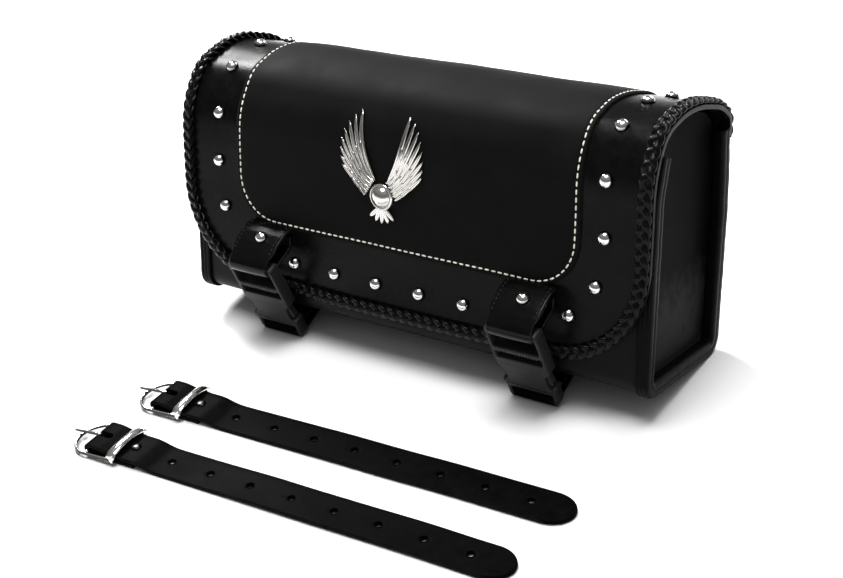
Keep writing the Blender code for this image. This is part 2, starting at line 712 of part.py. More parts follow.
def make_plug(side, name, finish, parts, cutters, pivot):
    """Lower half: a base with the anchor slot and the guide blade between the latch arms."""
    half, thick = PLUG_WIDTH / 2, 3.6 * MM
    frame = buckle_frame(side)
    bm = bmesh.new()
    box(bm, (-half, 0, -thick), (half, PLUG_BASE_S, thick))
    bmesh.ops.bevel(
        bm, geom=[e for e in bm.edges if abs(e.verts[0].co.y - e.verts[1].co.y) > MM],
        offset=1.2 * MM, segments=2, affect="EDGES",
    )
    plug = add_object(name, bm, finish, parts, pivot, frame)
    bar_low, bar_high = BASE_BAR_S - BASE_BAR_HALF, BASE_BAR_S + BASE_BAR_HALF
    slot = (-CAVITY_HALF, bar_high, -2 * thick), (CAVITY_HALF, 9 * MM, 2 * thick)
    bar_front = (-CAVITY_HALF, -MM, BASE_BAR_HALF), (CAVITY_HALF, bar_high + MM, 2 * thick)
    bar_back = (-CAVITY_HALF, -MM, -2 * thick), (CAVITY_HALF, bar_high + MM, -BASE_BAR_HALF)
    bar_foot = (-CAVITY_HALF, -MM, -2 * thick), (CAVITY_HALF, bar_low, 2 * thick)
    for key, piece in (("slot", slot), ("front", bar_front), ("back", bar_back), ("foot", bar_foot)):
        cut(plug, add_cutter(f"{name}_{key}_cutter", [piece], frame, cutters))
    blade = bmesh.new()
    box(blade, (-2.6 * MM, 10.5 * MM, -1.8 * MM), (2.6 * MM, 31 * MM, 1.8 * MM))
    guide = add_object(f"{name}_blade", blade, None, cutters, frame=frame)
    guide.hide_render = True
    guide.display_type = "WIRE"
    cut(plug, guide, "UNION")


def make_arm(side, hand, name, finish, parts, pivot):
    """A latch arm: a sprung leg that carries the button which fills the socket's window."""
    t, s = ARM_PIVOT
    foot = arc_points((t, s), ARM_HALF, math.pi, math.tau, 6)
    outline = [tuple(p) for p in foot]
    outline += [
        (t + ARM_HALF, 15.6 * MM), (half_button(), 15.6 * MM), (half_button() + 0.5 * MM, 19 * MM),
        (half_button() - 0.6 * MM, 24 * MM), (t + 2.6 * MM, 28.5 * MM), (t + 0.6 * MM, 31 * MM),
        (t - 1.2 * MM, 31 * MM), (t - ARM_HALF, 27 * MM),
    ]
    outline = [(hand * x, y) for x, y in outline]
    bm = bmesh.new()
    outline_body(bm, outline, -CAVITY_DEPTH + GAP, CAVITY_DEPTH - GAP)
    add_object(name, bm, finish, parts, pivot, buckle_frame(side))


def half_button():
    return SOCKET_WIDTH / 2 - 1.0 * MM


def make_anchor(side, name, finish, parts):
    """Strap from under the bag, through the plug's slot, round its bar and back on itself."""
    radius = ANCHOR_INNER + ANCHOR_LEATHER / 2
    upper = BODY_BOTTOM - GAP - ANCHOR_LEATHER / 2
    lower = upper - ANCHOR_LEATHER - GAP
    upper_bend, lower_bend = (-21 * MM, upper), (-16.5 * MM, lower)
    start = tangent_angle(BASE_BAR, radius, upper_bend, 1)
    end = tangent_angle(BASE_BAR, radius, lower_bend, -1)
    while end < start:
        end += math.tau
    path = [Vector((14 * MM, upper)), Vector(upper_bend)]
    path += arc_points(BASE_BAR, radius, start, end, 10)
    path += [Vector(lower_bend), Vector((4 * MM, lower))]
    rows = profile_rows(path, ANCHOR_WIDTH / 2, side * BUCKLE_X)
    sheet(name, rows, ANCHOR_LEATHER, finish, parts, frame=LID_FRAME, offset=0.0)


# ---- mounting straps ------------------------------------------------------------------------

CENTRE_BAR = Vector((3.6 * MM, 3.9 * MM))
KEEPER_X = 22 * MM
KEEPER_Z = 6.4 * MM
FRAME_HALF = 13.2 * MM
FOLD_INNER = WIRE + GAP


def strap_frame(start):
    return Matrix.Translation((*start, 0)) @ Matrix.Rotation(STRAP_TURN, 4, "Z")


def make_strap(name, start, finish, parts, cutters, pivot):
    """Strap with a rounded tip, punched holes, and one end folded round the buckle's bar."""
    frame = strap_frame(start)
    mid = STRAP_LEATHER / 2
    radius = FOLD_INNER + mid
    over = CENTRE_BAR.y + radius
    low = mid + 0.05 * MM
    path = [Vector((35 * MM, low)), Vector((17 * MM, low)), Vector((CENTRE_BAR.x + 1.5 * MM, CENTRE_BAR.y - radius))]
    path += arc_points(CENTRE_BAR, radius, -math.pi / 2 - 0.25, -math.pi * 1.5, 9)
    resting = low + STRAP_LEATHER + GAP
    path += [Vector((11 * MM, over)), Vector((20 * MM, resting + 0.6 * MM)), Vector((31 * MM, resting))]
    path += [Vector((37 * MM, resting))]
    path += [Vector((46 * MM, low)), Vector((60 * MM, low))]
    half = STRAP_WIDTH / 2
    rows = [(Vector((p.x, half, p.y)), Vector((p.x, -half, p.y))) for p in path]
    tip_length = 15 * MM
    for k in range(11):
        share = math.sin(math.pi / 2 * k / 10)
        width = max(half * math.cos(math.asin(share)), 0.8 * MM)
        x = STRAP_LENGTH - tip_length + tip_length * share
        rows.append((Vector((x, width, low)), Vector((x, -width, low))))
    strap = sheet(name, rows, STRAP_LEATHER, finish, parts, pivot, frame, offset=0.0)
    bm = bmesh.new()
    for k in range(STRAP_HOLES):
        at = Matrix.Translation((STRAP_FIRST_HOLE + STRAP_HOLE_PITCH * k, 0, low))
        bmesh.ops.create_cone(
            bm, cap_ends=True, segments=12, radius1=STRAP_HOLE_RADIUS, radius2=STRAP_HOLE_RADIUS,
            depth=4 * STRAP_LEATHER, matrix=at,
        )
    box(bm, (-4 * MM, -1.9 * MM, -MM), (11 * MM, 1.9 * MM, 14 * MM))
    punch = add_object(f"{name}_cutter", bm, None, cutters, frame=frame)
    punch.hide_render = True
    punch.display_type = "WIRE"
    cut(strap, punch)


def wire_body(name, routes, radius, finish, parts, pivot, frame, sides=8):
    """Bent wire of round section along each route, as one object."""
    bm = bmesh.new()
    for route in routes:
        rings = []
        for i, p in enumerate(route):
            ahead = route[min(i + 1, len(route) - 1)] - route[max(i - 1, 0)]
            turn = ahead.to_track_quat("Z", "Y").to_matrix()
            ring = []
            for k in range(sides):
                angle = math.tau * k / sides
                ring.append(p + turn @ Vector((math.cos(angle) * radius, math.sin(angle) * radius, 0)))
            rings.append(ring)
        loft(bm, rings)
    return add_object(name, bm, finish, parts, pivot, frame)


def make_buckle_frame(name, start, metal, parts, cutters, pivot):
    """Horseshoe frame: a round end, two rails, the centre bar and a flat keeper over the strap."""
    frame = strap_frame(start)
    height = CENTRE_BAR.y - 1.6 * MM
    left = 0.0
    rail_end = KEEPER_X + 1.5 * MM
    rails = [Vector((rail_end, FRAME_HALF, height + 0.8 * MM)), Vector((left, FRAME_HALF, height))]
    for k in range(1, 12):
        angle = math.pi / 2 + math.pi * k / 12
        rails.append(Vector((left + math.cos(angle) * FRAME_HALF * 0.92, math.sin(angle) * FRAME_HALF, height)))
    rails += [Vector((left, -FRAME_HALF, height)), Vector((rail_end, -FRAME_HALF, height + 0.8 * MM))]
    body = wire_body(name, [rails], WIRE, metal, parts, pivot, frame)
    bar = [Vector((CENTRE_BAR.x, y, CENTRE_BAR.y)) for y in (-FRAME_HALF, FRAME_HALF)]
    keeper = bmesh.new()
    rings = []
    for k in range(11):
        y = FRAME_HALF * (1 - k / 5)
        z = KEEPER_Z + (1 - (y / FRAME_HALF) ** 2) * 1.8 * MM
        rings.append([
            Vector((KEEPER_X - 3.2 * MM, y, z - 0.3 * MM)), Vector((KEEPER_X - 3.0 * MM, y, z + 0.9 * MM)),
            Vector((KEEPER_X, y, z + 1.5 * MM)), Vector((KEEPER_X + 3.0 * MM, y, z + 0.9 * MM)),
            Vector((KEEPER_X + 3.2 * MM, y, z - 0.3 * MM)),
        ])
    loft(keeper, rings)
    posts = bmesh.new()
    for y in (-FRAME_HALF, FRAME_HALF):
        box(posts, (KEEPER_X - 2.2 * MM, y - WIRE, height - 0.6 * MM), (KEEPER_X + 2.2 * MM, y + WIRE, KEEPER_Z + 0.7 * MM))
    bar_part = wire_body(f"{name}_bar", [bar], WIRE, None, cutters, None, frame)
    posts_part = add_object(f"{name}_posts", posts, None, cutters, frame=frame)
    keeper_part = add_object(f"{name}_keeper", keeper, None, cutters, frame=frame)
    for extra in (bar_part, posts_part, keeper_part):
        extra.hide_render = True
        extra.display_type = "WIRE"
        cut(body, extra, "UNION")


def make_prong(name, start, metal, parts, pivot):
    """A prong that hooks round the centre bar and rests on the frame's round end."""
    frame = strap_frame(start)
    radius = 1.0 * MM
    around = WIRE + GAP + radius
    hook = arc_points(CENTRE_BAR, around, -math.pi * 0.35, -math.pi * 1.5, 9)
    rest_z = CENTRE_BAR.y - 1.6 * MM + WIRE + GAP + radius
    route = [Vector((p.x, 0, p.y)) for p in hook]
    tail = [Vector((CENTRE_BAR.x - 5 * MM, 0, CENTRE_BAR.y + around - 0.2 * MM))]
    tail += [Vector((-12.5 * MM, 0, rest_z + 0.1 * MM)), Vector((-16.5 * MM, 0, rest_z - 0.1 * MM))]
    return wire_body(name, [route + tail], radius, metal, parts, pivot, frame, 6)


def make_strap_rivet(name, start, metal, parts, pivot):
    frame = strap_frame(start)
    top = 2 * STRAP_LEATHER + 0.85 * MM
    bm = bmesh.new()
    add_dome(bm, 3.0 * MM, 1.3 * MM, Matrix.Translation((29 * MM, 0, top)), 10, 6)
    add_object(name, bm, metal, parts, pivot, frame)


def main():
    clear_scene()
    parts = new_collection("saddlebag")
    cutters = new_collection("cutters")
    leather = material("black_leatherette", (0.016, 0.016, 0.018), 0.38)
    nubuck = material("black_nubuck", (0.012, 0.012, 0.013), 0.85)
    gusset = material("end_leatherette", (0.022, 0.022, 0.026), 0.55)
    edging = material("edge_binding", (0.018, 0.018, 0.02), 0.6)
    plait = material("plaited_leather", (0.014, 0.014, 0.015), 0.28)
    cloth = material("lining_cloth", (0.03, 0.03, 0.032), 0.9)
    board = material("fibreboard", (0.11, 0.09, 0.07), 0.8)
    chrome = material("chrome", (0.78, 0.77, 0.75), 0.08, 1.0)
    dark_metal = material("dark_metal", (0.09, 0.09, 0.09), 0.35, 0.9)
    plastic = material("moulded_plastic", (0.02, 0.02, 0.021), 0.5)
    strap_leather = material("strap_leather", (0.018, 0.018, 0.019), 0.5)

    make_wrap(leather, parts)
    make_end_panel(-1, "end_panel_left", gusset, parts)
    make_end_panel(1, "end_panel_right", gusset, parts)
    make_binding(-1, "rim_binding_left", edging, parts)
    make_binding(1, "rim_binding_right", edging, parts)
    make_boards(board, parts)
    make_lining(cloth, parts)
    make_back_loops(strap_leather, parts)
    make_anchor(-1, "buckle_anchor_left", strap_leather, parts)
    make_anchor(1, "buckle_anchor_right", strap_leather, parts)

    hinge = empty("lid_hinge", LID_FRAME @ Matrix.Translation((0, *LID_HINGE)), parts)
    make_lid_sheets(leather, nubuck, cloth, parts, hinge)
    make_braid(plait, parts, hinge)
    make_studs(chrome, parts, hinge)
    emblem, boss = make_emblem(chrome, parts, hinge)
    cutters.objects.link(boss)
    parts.objects.unlink(boss)
    boss.hide_render = True
    boss.display_type = "WIRE"
    cut(emblem, boss, "UNION")
    for side, hand in ((-1, "left"), (1, "right")):
        root, touch = make_tab(side, f"tab_{hand}", leather, parts, hinge)
        top_bar = LID_FRAME @ Matrix.Translation((side * BUCKLE_X, *BUCKLE_TOP_BAR))
        base_bar = LID_FRAME @ Matrix.Translation((side * BUCKLE_X, *BASE_BAR))
        socket_pivot = empty(f"socket_pivot_{hand}", top_bar, parts)
        plug_pivot = empty(f"plug_pivot_{hand}", base_bar, parts)
        make_socket(side, f"buckle_socket_{hand}", plastic, parts, cutters, socket_pivot)
        make_plug(side, f"buckle_plug_{hand}", plastic, parts, cutters, plug_pivot)
        for which, place in ((-1, "outer" if side < 0 else "inner"), (1, "inner" if side < 0 else "outer")):
            arm_place = buckle_frame(side) @ Matrix.Translation((which * ARM_PIVOT[0], ARM_PIVOT[1], 0))
            arm_pivot = empty(f"arm_pivot_{hand}_{place}", arm_place, parts)
            make_arm(side, which, f"latch_arm_{hand}_{place}", plastic, parts, arm_pivot)
    make_tab_studs(root, touch, chrome, parts, hinge)

    for place, start in (("front", FRONT_STRAP_START), ("rear", REAR_STRAP_START)):
        start = (start[0], start[1] + BAG_Y)
        bar = strap_frame(start) @ Matrix.Translation((CENTRE_BAR.x, 0, CENTRE_BAR.y))
        bar_pivot = empty(f"strap_buckle_pivot_{place}", bar, parts)
        strap_pivot = empty(f"strap_start_{place}", strap_frame(start), parts)
        make_strap(f"mounting_strap_{place}", start, strap_leather, parts, cutters, strap_pivot)
        make_strap_rivet(f"strap_rivet_{place}", start, dark_metal, parts, strap_pivot)
        make_buckle_frame(f"strap_buckle_frame_{place}", start, chrome, parts, cutters, bar_pivot)
        make_prong(f"strap_buckle_prong_{place}", start, chrome, parts, bar_pivot)


main()
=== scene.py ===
"""Looks of the saddlebag set. Lengths are in millimetres in the bag's own upright frame, which leans back
as a whole; to_world turns them into metres in the row frame."""

import math

import bmesh
import bpy
import numpy as np
from mathutils import Matrix, Vector, noise


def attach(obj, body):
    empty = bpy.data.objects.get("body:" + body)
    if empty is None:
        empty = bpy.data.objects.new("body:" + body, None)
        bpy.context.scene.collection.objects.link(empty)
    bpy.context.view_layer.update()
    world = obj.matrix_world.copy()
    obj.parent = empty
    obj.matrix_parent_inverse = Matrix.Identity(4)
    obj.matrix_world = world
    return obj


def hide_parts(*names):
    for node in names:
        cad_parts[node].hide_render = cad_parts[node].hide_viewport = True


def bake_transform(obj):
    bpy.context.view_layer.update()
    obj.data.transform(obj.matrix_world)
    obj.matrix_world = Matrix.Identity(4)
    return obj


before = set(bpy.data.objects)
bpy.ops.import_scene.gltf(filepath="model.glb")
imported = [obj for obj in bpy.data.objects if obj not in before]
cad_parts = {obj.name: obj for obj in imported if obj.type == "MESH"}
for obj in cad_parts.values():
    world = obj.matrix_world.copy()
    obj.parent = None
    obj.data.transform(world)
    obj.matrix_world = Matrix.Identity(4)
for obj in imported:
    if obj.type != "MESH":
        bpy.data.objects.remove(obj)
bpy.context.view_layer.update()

MM = 0.001
LEAN = math.radians(12.228339)
BAG = Matrix.Translation((0.002, 0.0593, 0.0068824)) @ Matrix.Rotation(-LEAN, 4, "X")
BAG_MM = BAG @ Matrix.Scale(MM, 4)

# ---------------------------------------------------------------- dimensions, as in the CAD
HALF_W = 155.0
HALF_D = 43.0
BODY_BOTTOM = 2.5
FRONT_TOP = 131.0
BACK_TOP = 120.5
BODY_R = 9.0
FRONT_LEAN = (110.0, math.radians(17.2), 40.0)
BACK_LEAN = (85.0, math.radians(3.9), 60.0)
WRAP_T = 2.2
INSET = 9.5
RIM_OUT = 1.9
LID_HALF = 156.5
LID_X = -2.5
LID_T = 2.4
LID_FRONT = -47.6
LID_BACK = 44.5
LID_BACK_EDGE = 123.5
LID_EDGE = 14.0
LID_R = 60.0
PANEL_HALF = 115.5
PANEL_BOTTOM = 56.0
PANEL_R = 28.0
PANEL_T = 1.7
BRAID_W = 8.4
BUCKLE_X = 89.0
TOP_BAR = (-68.2, 35.7)
SLOPE = math.radians(59.5)
DOWN = np.array([math.cos(SLOPE), -math.sin(SLOPE)])
OUT = np.array([-math.sin(SLOPE), -math.cos(SLOPE)])
TOP_S = 57.5
BASE_S = 3.0
BASE_BAR = np.array(TOP_BAR) + DOWN * (TOP_S - BASE_S)
SOCKET_HALF = 16.5
PLUG_HALF = 15.5
STRAP_TURN = math.radians(2.1)
STRAPS = {"front": (-116.0, -120.2), "rear": (-110.0, -72.4)}
STRAP_W = 23.0
STRAP_L = 267.0
STRAP_T = 2.4
BAR = np.array([3.6, 3.9])
WIRE = 1.1
GAP = 0.3
TAB_T = 2.2
ANCHOR_T = 1.6
LOOP_T = 1.8
LOOP_X = 78.0
LOOP_Z = 66
SIDES = ((-1, "left"), (1, "right"))


# ---------------------------------------------------------------- materials
def new_material(name, base, rough, metallic=0.0):
    m = bpy.data.materials.new(name)
    m.use_nodes = True
    tree = m.node_tree
    shader = tree.nodes["Principled BSDF"]
    shader.inputs["Base Color"].default_value = (*base, 1)
    shader.inputs["Roughness"].default_value = rough
    shader.inputs["Metallic"].default_value = metallic
    return m, tree, shader


def add(tree, kind, **settings):
    n = tree.nodes.new(kind)
    for key, value in settings.items():
        setattr(n, key, value)
    return n


def object_coords(tree):
    return add(tree, "ShaderNodeTexCoord").outputs["Object"]


def noise_tex(tree, coords, scale, detail, rough=0.5, distortion=0.0):
    n = add(tree, "ShaderNodeTexNoise")
    n.inputs["Scale"].default_value = scale
    n.inputs["Detail"].default_value = detail
    n.inputs["Roughness"].default_value = rough
    n.inputs["Distortion"].default_value = distortion
    tree.links.new(coords, n.inputs["Vector"])
    return n.outputs["Fac"]


def voronoi_tex(tree, coords, scale):
    n = add(tree, "ShaderNodeTexVoronoi", feature="F1")
    n.inputs["Scale"].default_value = scale
    tree.links.new(coords, n.inputs["Vector"])
    return n.outputs["Distance"]


def ramp(tree, source, low, high, out_low, out_high):
    n = add(tree, "ShaderNodeMapRange")
    for key, value in zip(("From Min", "From Max", "To Min", "To Max"), (low, high, out_low, out_high)):
        n.inputs[key].default_value = value
    tree.links.new(source, n.inputs["Value"])
    return n.outputs["Result"]


def math_node(tree, operation, a, b):
    n = add(tree, "ShaderNodeMath", operation=operation)
    for slot_in, value in zip(n.inputs, (a, b)):
        if isinstance(value, (int, float)):
            slot_in.default_value = value
        else:
            tree.links.new(value, slot_in)
    return n.outputs[0]


def mix_color(tree, factor, a, b):
    n = add(tree, "ShaderNodeMix", data_type="RGBA")
    tree.links.new(factor, n.inputs[0])
    for slot_in, value in ((n.inputs[6], a), (n.inputs[7], b)):
        if isinstance(value, tuple):
            slot_in.default_value = (*value, 1)
        else:
            tree.links.new(value, slot_in)
    return n.outputs[2]


def bump(tree, height, shader, strength, distance, previous=None):
    n = add(tree, "ShaderNodeBump")
    n.inputs["Strength"].default_value = strength
    n.inputs["Distance"].default_value = distance
    tree.links.new(height, n.inputs["Height"])
    if previous is not None:
        tree.links.new(previous, n.inputs["Normal"])
    tree.links.new(n.outputs["Normal"], shader.inputs["Normal"])
    return n.outputs["Normal"]


# Reads the per-point values that make a leather paler and a chrome darker: scuffed edges on most pieces,
# painted light and painted shade on others.
def wear_and_light_attribute(tree):
    n = add(tree, "ShaderNodeAttribute", attribute_name="wear_and_light")
    return n.outputs["Fac"]


def leather(name, base, light, rough, grain=1500.0, bumpy=0.28, soft=0.2, *, worn_and_lit, shine):
    """Black leatherette: fine pebble grain, slow changes of gloss, and a paler colour where the per-point
    values are high: scuffed edges on most pieces, painted light on the plait and the end panels.
    """
    m, tree, shader = new_material(name, base, rough)
    coords = object_coords(tree)
    slow = noise_tex(tree, coords, 22.0, 2.0)
    mid = noise_tex(tree, coords, 160.0, 4.0, 0.6)
    pebbles = voronoi_tex(tree, coords, grain)
    fine = noise_tex(tree, coords, grain * 2.2, 2.0)
    tone = mix_color(tree, ramp(tree, mid, 0.3, 0.75, 0.0, 1.0), base, light)
    # Paler where the per-point values are high: scuffing on rims and edges, but a painted highlight on the
    # plait and painted floor light on the end panels.
    edge = ramp(tree, math_node(tree, "MULTIPLY", wear_and_light_attribute(tree), mid), 0.2, 0.6, 0.0, 0.8)
    tree.links.new(mix_color(tree, edge, tone, worn_and_lit), shader.inputs["Base Color"])
    gloss = math_node(tree, "ADD", ramp(tree, slow, 0.3, 0.7, rough - 0.05, rough + 0.06),
                      ramp(tree, mid, 0.35, 0.7, -0.03, 0.04))
    tree.links.new(gloss, shader.inputs["Roughness"])
    grain_height = math_node(tree, "ADD", pebbles, math_node(tree, "MULTIPLY", fine, 0.5))
    first = bump(tree, mid, shader, soft, 0.0004)
    bump(tree, grain_height, shader, bumpy, 0.00012, first)
    shader.inputs["Specular IOR Level"].default_value = shine
    return m


def nubuck(name):
    m, tree, shader = new_material(name, (0.012, 0.012, 0.0125), 0.78)
    coords = object_coords(tree)
    cloud = noise_tex(tree, coords, 28.0, 4.0, 0.62, 0.6)
    nap = noise_tex(tree, coords, 1900.0, 3.0, 0.65)
    tone = mix_color(tree, ramp(tree, cloud, 0.3, 0.72, 0.0, 1.0), (0.0022, 0.0022, 0.0024),
                     (0.0048, 0.0047, 0.0048))
    flecks = ramp(tree, nap, 0.6, 0.78, 0.0, 0.3)
    tree.links.new(mix_color(tree, flecks, tone, (0.014, 0.0135, 0.0135)), shader.inputs["Base Color"])
    tree.links.new(ramp(tree, cloud, 0.3, 0.7, 0.62, 0.74), shader.inputs["Roughness"])
    shader.inputs["Sheen Weight"].default_value = 0.022
    shader.inputs["Sheen Roughness"].default_value = 0.3
    shader.inputs["Specular IOR Level"].default_value = 0.05
    bump(tree, nap, shader, 0.45, 0.00012)
    return m


def chrome(name, base, rough, dark=None):
    m, tree, shader = new_material(name, base, rough, 1.0)
    coords = object_coords(tree)
    smear = noise_tex(tree, coords, 90.0, 3.0)
    tree.links.new(ramp(tree, smear, 0.3, 0.75, rough * 0.7, rough * 1.9), shader.inputs["Roughness"])
    # Where the per-point values are low the metal takes the dark colour: painted shade and painted
    # reflection.
    if dark:
        low = ramp(tree, wear_and_light_attribute(tree), 0.25, 0.75, 0.0, 1.0)
        tree.links.new(mix_color(tree, low, dark, base), shader.inputs["Base Color"])
    bump(tree, noise_tex(tree, coords, 420.0, 2.0), shader, 0.05, 0.0002)
    return m


def plastic(name, base, rough):
    m, tree, shader = new_material(name, base, rough)
    coords = object_coords(tree)
    spark = noise_tex(tree, coords, 2600.0, 2.0, 0.6)
    slow = noise_tex(tree, coords, 70.0, 3.0)
    tree.links.new(mix_color(tree, slow, base, tuple(v * 1.7 for v in base)), shader.inputs["Base Color"])
    tree.links.new(ramp(tree, slow, 0.3, 0.7, rough - 0.05, rough + 0.07), shader.inputs["Roughness"])
    shader.inputs["Specular IOR Level"].default_value = 0.12
    bump(tree, spark, shader, 0.3, 0.0001)
    return m


THREADS_PER_METRE = 900.0


def cloth(name, base, light):
    m, tree, shader = new_material(name, base, 0.88)
    coords = object_coords(tree)
    waves = []
    for direction in ("X", "Z"):
        w = add(tree, "ShaderNodeTexWave", wave_type="BANDS", bands_direction=direction)
        w.inputs["Scale"].default_value = THREADS_PER_METRE
        w.inputs["Distortion"].default_value = 0.5
        w.inputs["Detail"].default_value = 1.0
        tree.links.new(coords, w.inputs["Vector"])
        waves.append(w.outputs["Fac"])
    weave = math_node(tree, "MAXIMUM", waves[0], waves[1])
    tree.links.new(mix_color(tree, weave, base, light), shader.inputs["Base Color"])
    shader.inputs["Sheen Weight"].default_value = 0.1
    bump(tree, weave, shader, 0.5, 0.0002)
    return m


def board(name):
    m, tree, shader = new_material(name, (0.1, 0.08, 0.06), 0.85)
    coords = object_coords(tree)
    fibres = noise_tex(tree, coords, 700.0, 5.0, 0.7, 1.5)
    tree.links.new(mix_color(tree, fibres, (0.07, 0.055, 0.04), (0.19, 0.15, 0.11)),
                   shader.inputs["Base Color"])
    bump(tree, fibres, shader, 0.4, 0.0002)
    return m


def thread(name, base, light):
    m, tree, shader = new_material(name, base, 0.7)
    coords = object_coords(tree)
    twist = noise_tex(tree, coords, 2400.0, 2.0, 0.6)
    tree.links.new(mix_color(tree, twist, base, light), shader.inputs["Base Color"])
    shader.inputs["Sheen Weight"].default_value = 0.05
    shader.inputs["Specular IOR Level"].default_value = 0.2
    bump(tree, twist, shader, 0.6, 0.0002)
    return m


LEATHER = leather("lid_leatherette", (0.0022, 0.0022, 0.0024), (0.004, 0.004, 0.0042), 0.27,
                  worn_and_lit=(0.012, 0.011, 0.011), shine=0.06)
BODY_LEATHER = leather("body_leatherette", (0.003, 0.003, 0.0032), (0.005, 0.005, 0.0052), 0.40,
                       worn_and_lit=(0.014, 0.013, 0.013), shine=0.08)
TAB_LEATHER = leather("tab_leather_gloss", (0.0016, 0.0016, 0.0018), (0.003, 0.003, 0.003), 0.2, bumpy=0.12,
                      soft=0.12, worn_and_lit=(0.010, 0.009, 0.009), shine=0.11)
# Its paler colour is painted on the end panels' lower part as painted floor light; the top keeps the dark
# base colour, standing for the lid's shadow.
GUSSET = leather("end_leatherette_matt", (0.0035, 0.0035, 0.0039), (0.0058, 0.0058, 0.0062), 0.5, 1300, 0.34,
                 worn_and_lit=(0.030, 0.029, 0.029), shine=0.008)
EDGING = leather("rim_binding_ridged", (0.0022, 0.0022, 0.0024), (0.0042, 0.0041, 0.0042), 0.38, 1300, 0.3,
                 0.35, worn_and_lit=(0.011, 0.010, 0.010), shine=0.04)
# Its paler colour is painted on the laces' crests, a painted highlight.
PLAIT = leather("plaited_lace", (0.0018, 0.0018, 0.002), (0.0036, 0.0036, 0.0036), 0.24, 1900, 0.2, 0.2,
                worn_and_lit=(0.011, 0.010, 0.010), shine=0.1)
STRAP_LEATHER = leather("strap_leather_black", (0.0013, 0.0013, 0.0014), (0.003, 0.0029, 0.003), 0.40, 1100,
                        0.4, 0.3, worn_and_lit=(0.010, 0.009, 0.009), shine=0.004)
NUBUCK = nubuck("panel_nubuck")
# The second colour of each of these chromes is painted shade, laid on where the per-point values are low.
OLD_CHROME = chrome("ornament_chrome", (0.70, 0.68, 0.65), 0.14, (0.02, 0.017, 0.015))
WIRE_CHROME = chrome("buckle_wire_chrome", (0.74, 0.725, 0.70), 0.08, (0.05, 0.047, 0.044))
STUD_CHROME = chrome("stud_chrome", (0.74, 0.73, 0.71), 0.09, (0.035, 0.034, 0.032))
DARK_METAL = chrome("rivet_black_steel", (0.022, 0.021, 0.021), 0.24)
PLASTIC = plastic("buckle_plastic", (0.010, 0.010, 0.0104), 0.42)
PLASTIC_LIGHT = plastic("buckle_plastic_ribs", (0.035, 0.035, 0.036), 0.5)
CLOTH = cloth("lining_weave", (0.012, 0.012, 0.013), (0.045, 0.045, 0.047))
BOARD = board("fibreboard_raw")
CREAM = thread("cream_thread", (0.68, 0.63, 0.54), (0.92, 0.88, 0.8))
BLACK_THREAD = thread("black_thread", (0.008, 0.008, 0.008), (0.03, 0.029, 0.028))


# ---------------------------------------------------------------- mesh helpers
def smooth_step(value, low, high):
    q = np.clip((value - low) / (high - low), 0, 1)
    return q * q * (3 - 2 * q)


def settled(pts):
    """The bag's uneven slump: the left shoulder sinks back and down, the right one stays fuller."""
    pts = np.array(pts, float)
    x, y, z = pts.T
    up = smooth_step(z, 92, 142)
    front = smooth_step(-y, -10, 34)
    left, right = smooth_step(-x, 20, 150), smooth_step(x, 30, 150)
    pts[:, 1] += up * front * (1.8 * left - 1.6 * right) - up * (1 - front) * 1.2 * right
    pts[:, 2] += up * (front * (2.2 * right - 1.0 * left) + (1 - front) * (0.4 * right + 0.3 * left))
    return pts


def to_world(points, strap=None):
    """Points in millimetres to the row frame in metres: of the bag, or of a strap on the ground."""
    pts = np.asarray(points, float).reshape(-1, 3)
    if strap is None:
        pts = settled(pts)
    m = np.array(BAG_MM if strap is None else strap)
    return pts @ m[:3, :3].T + m[:3, 3]


def strap_matrix(place):
    x, y = STRAPS[place]
    turned = Matrix.Translation((x * MM, y * MM, 0)) @ Matrix.Rotation(STRAP_TURN, 4, "Z")
    return turned @ Matrix.Scale(MM, 4)


def linked(name, data):
    thing = bpy.data.objects.new(name, data)
    bpy.context.scene.collection.objects.link(thing)
    return thing


def outward_mesh(name, points, faces):
    """A mesh whose faces look outwards; points are in the row frame, in metres."""
    mesh = bpy.data.meshes.new(name)
    mesh.from_pydata([tuple(v) for v in points], [], [tuple(int(i) for i in f) for f in faces])
    mesh.validate()
    bm = bmesh.new()
    bm.from_mesh(mesh)
    bmesh.ops.recalc_face_normals(bm, faces=bm.faces)
    bm.to_mesh(mesh)
    bm.free()
    return mesh


def make_object(name, verts, faces, material, body, slot, strap=None, smooth=True, wear_and_light=None):
    """One visible piece in its material, on its body; slot is not used; strap is the matrix of a strap's
    piece.
    """
    mesh = outward_mesh(name, to_world(verts, strap), faces)
    # High values make leather paler and low values make chrome dark: scuffed edges on most leather, a painted
    # highlight on the plait's crests, painted floor light low on the end panels, and painted shade and
    # painted reflection on the studs, wires and ornament.
    if wear_and_light is not None:
        layer = mesh.attributes.new("wear_and_light", "FLOAT", "POINT")
        layer.data.foreach_set("value", np.asarray(wear_and_light, np.float32))
    mesh.materials.append(material)
    for polygon in mesh.polygons:
        polygon.use_smooth = smooth
    thing = linked(name, mesh)
    if body:
        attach(thing, body)
    return thing


def bevel(thing, width):
    b = thing.modifiers.new("edge", "BEVEL")
    b.width = width * MM
    b.segments = 3
    b.limit_method = "ANGLE"
    b.angle_limit = math.radians(40)
    b.harden_normals = False
    return thing


def grid_faces(rows, columns, start=0, flip=False):
    faces = []
    for r in range(rows - 1):
        for c in range(columns - 1):
            a = start + r * columns + c
            quad = (a, a + 1, a + columns + 1, a + columns)
            faces.append(quad[::-1] if flip else quad)
    return faces


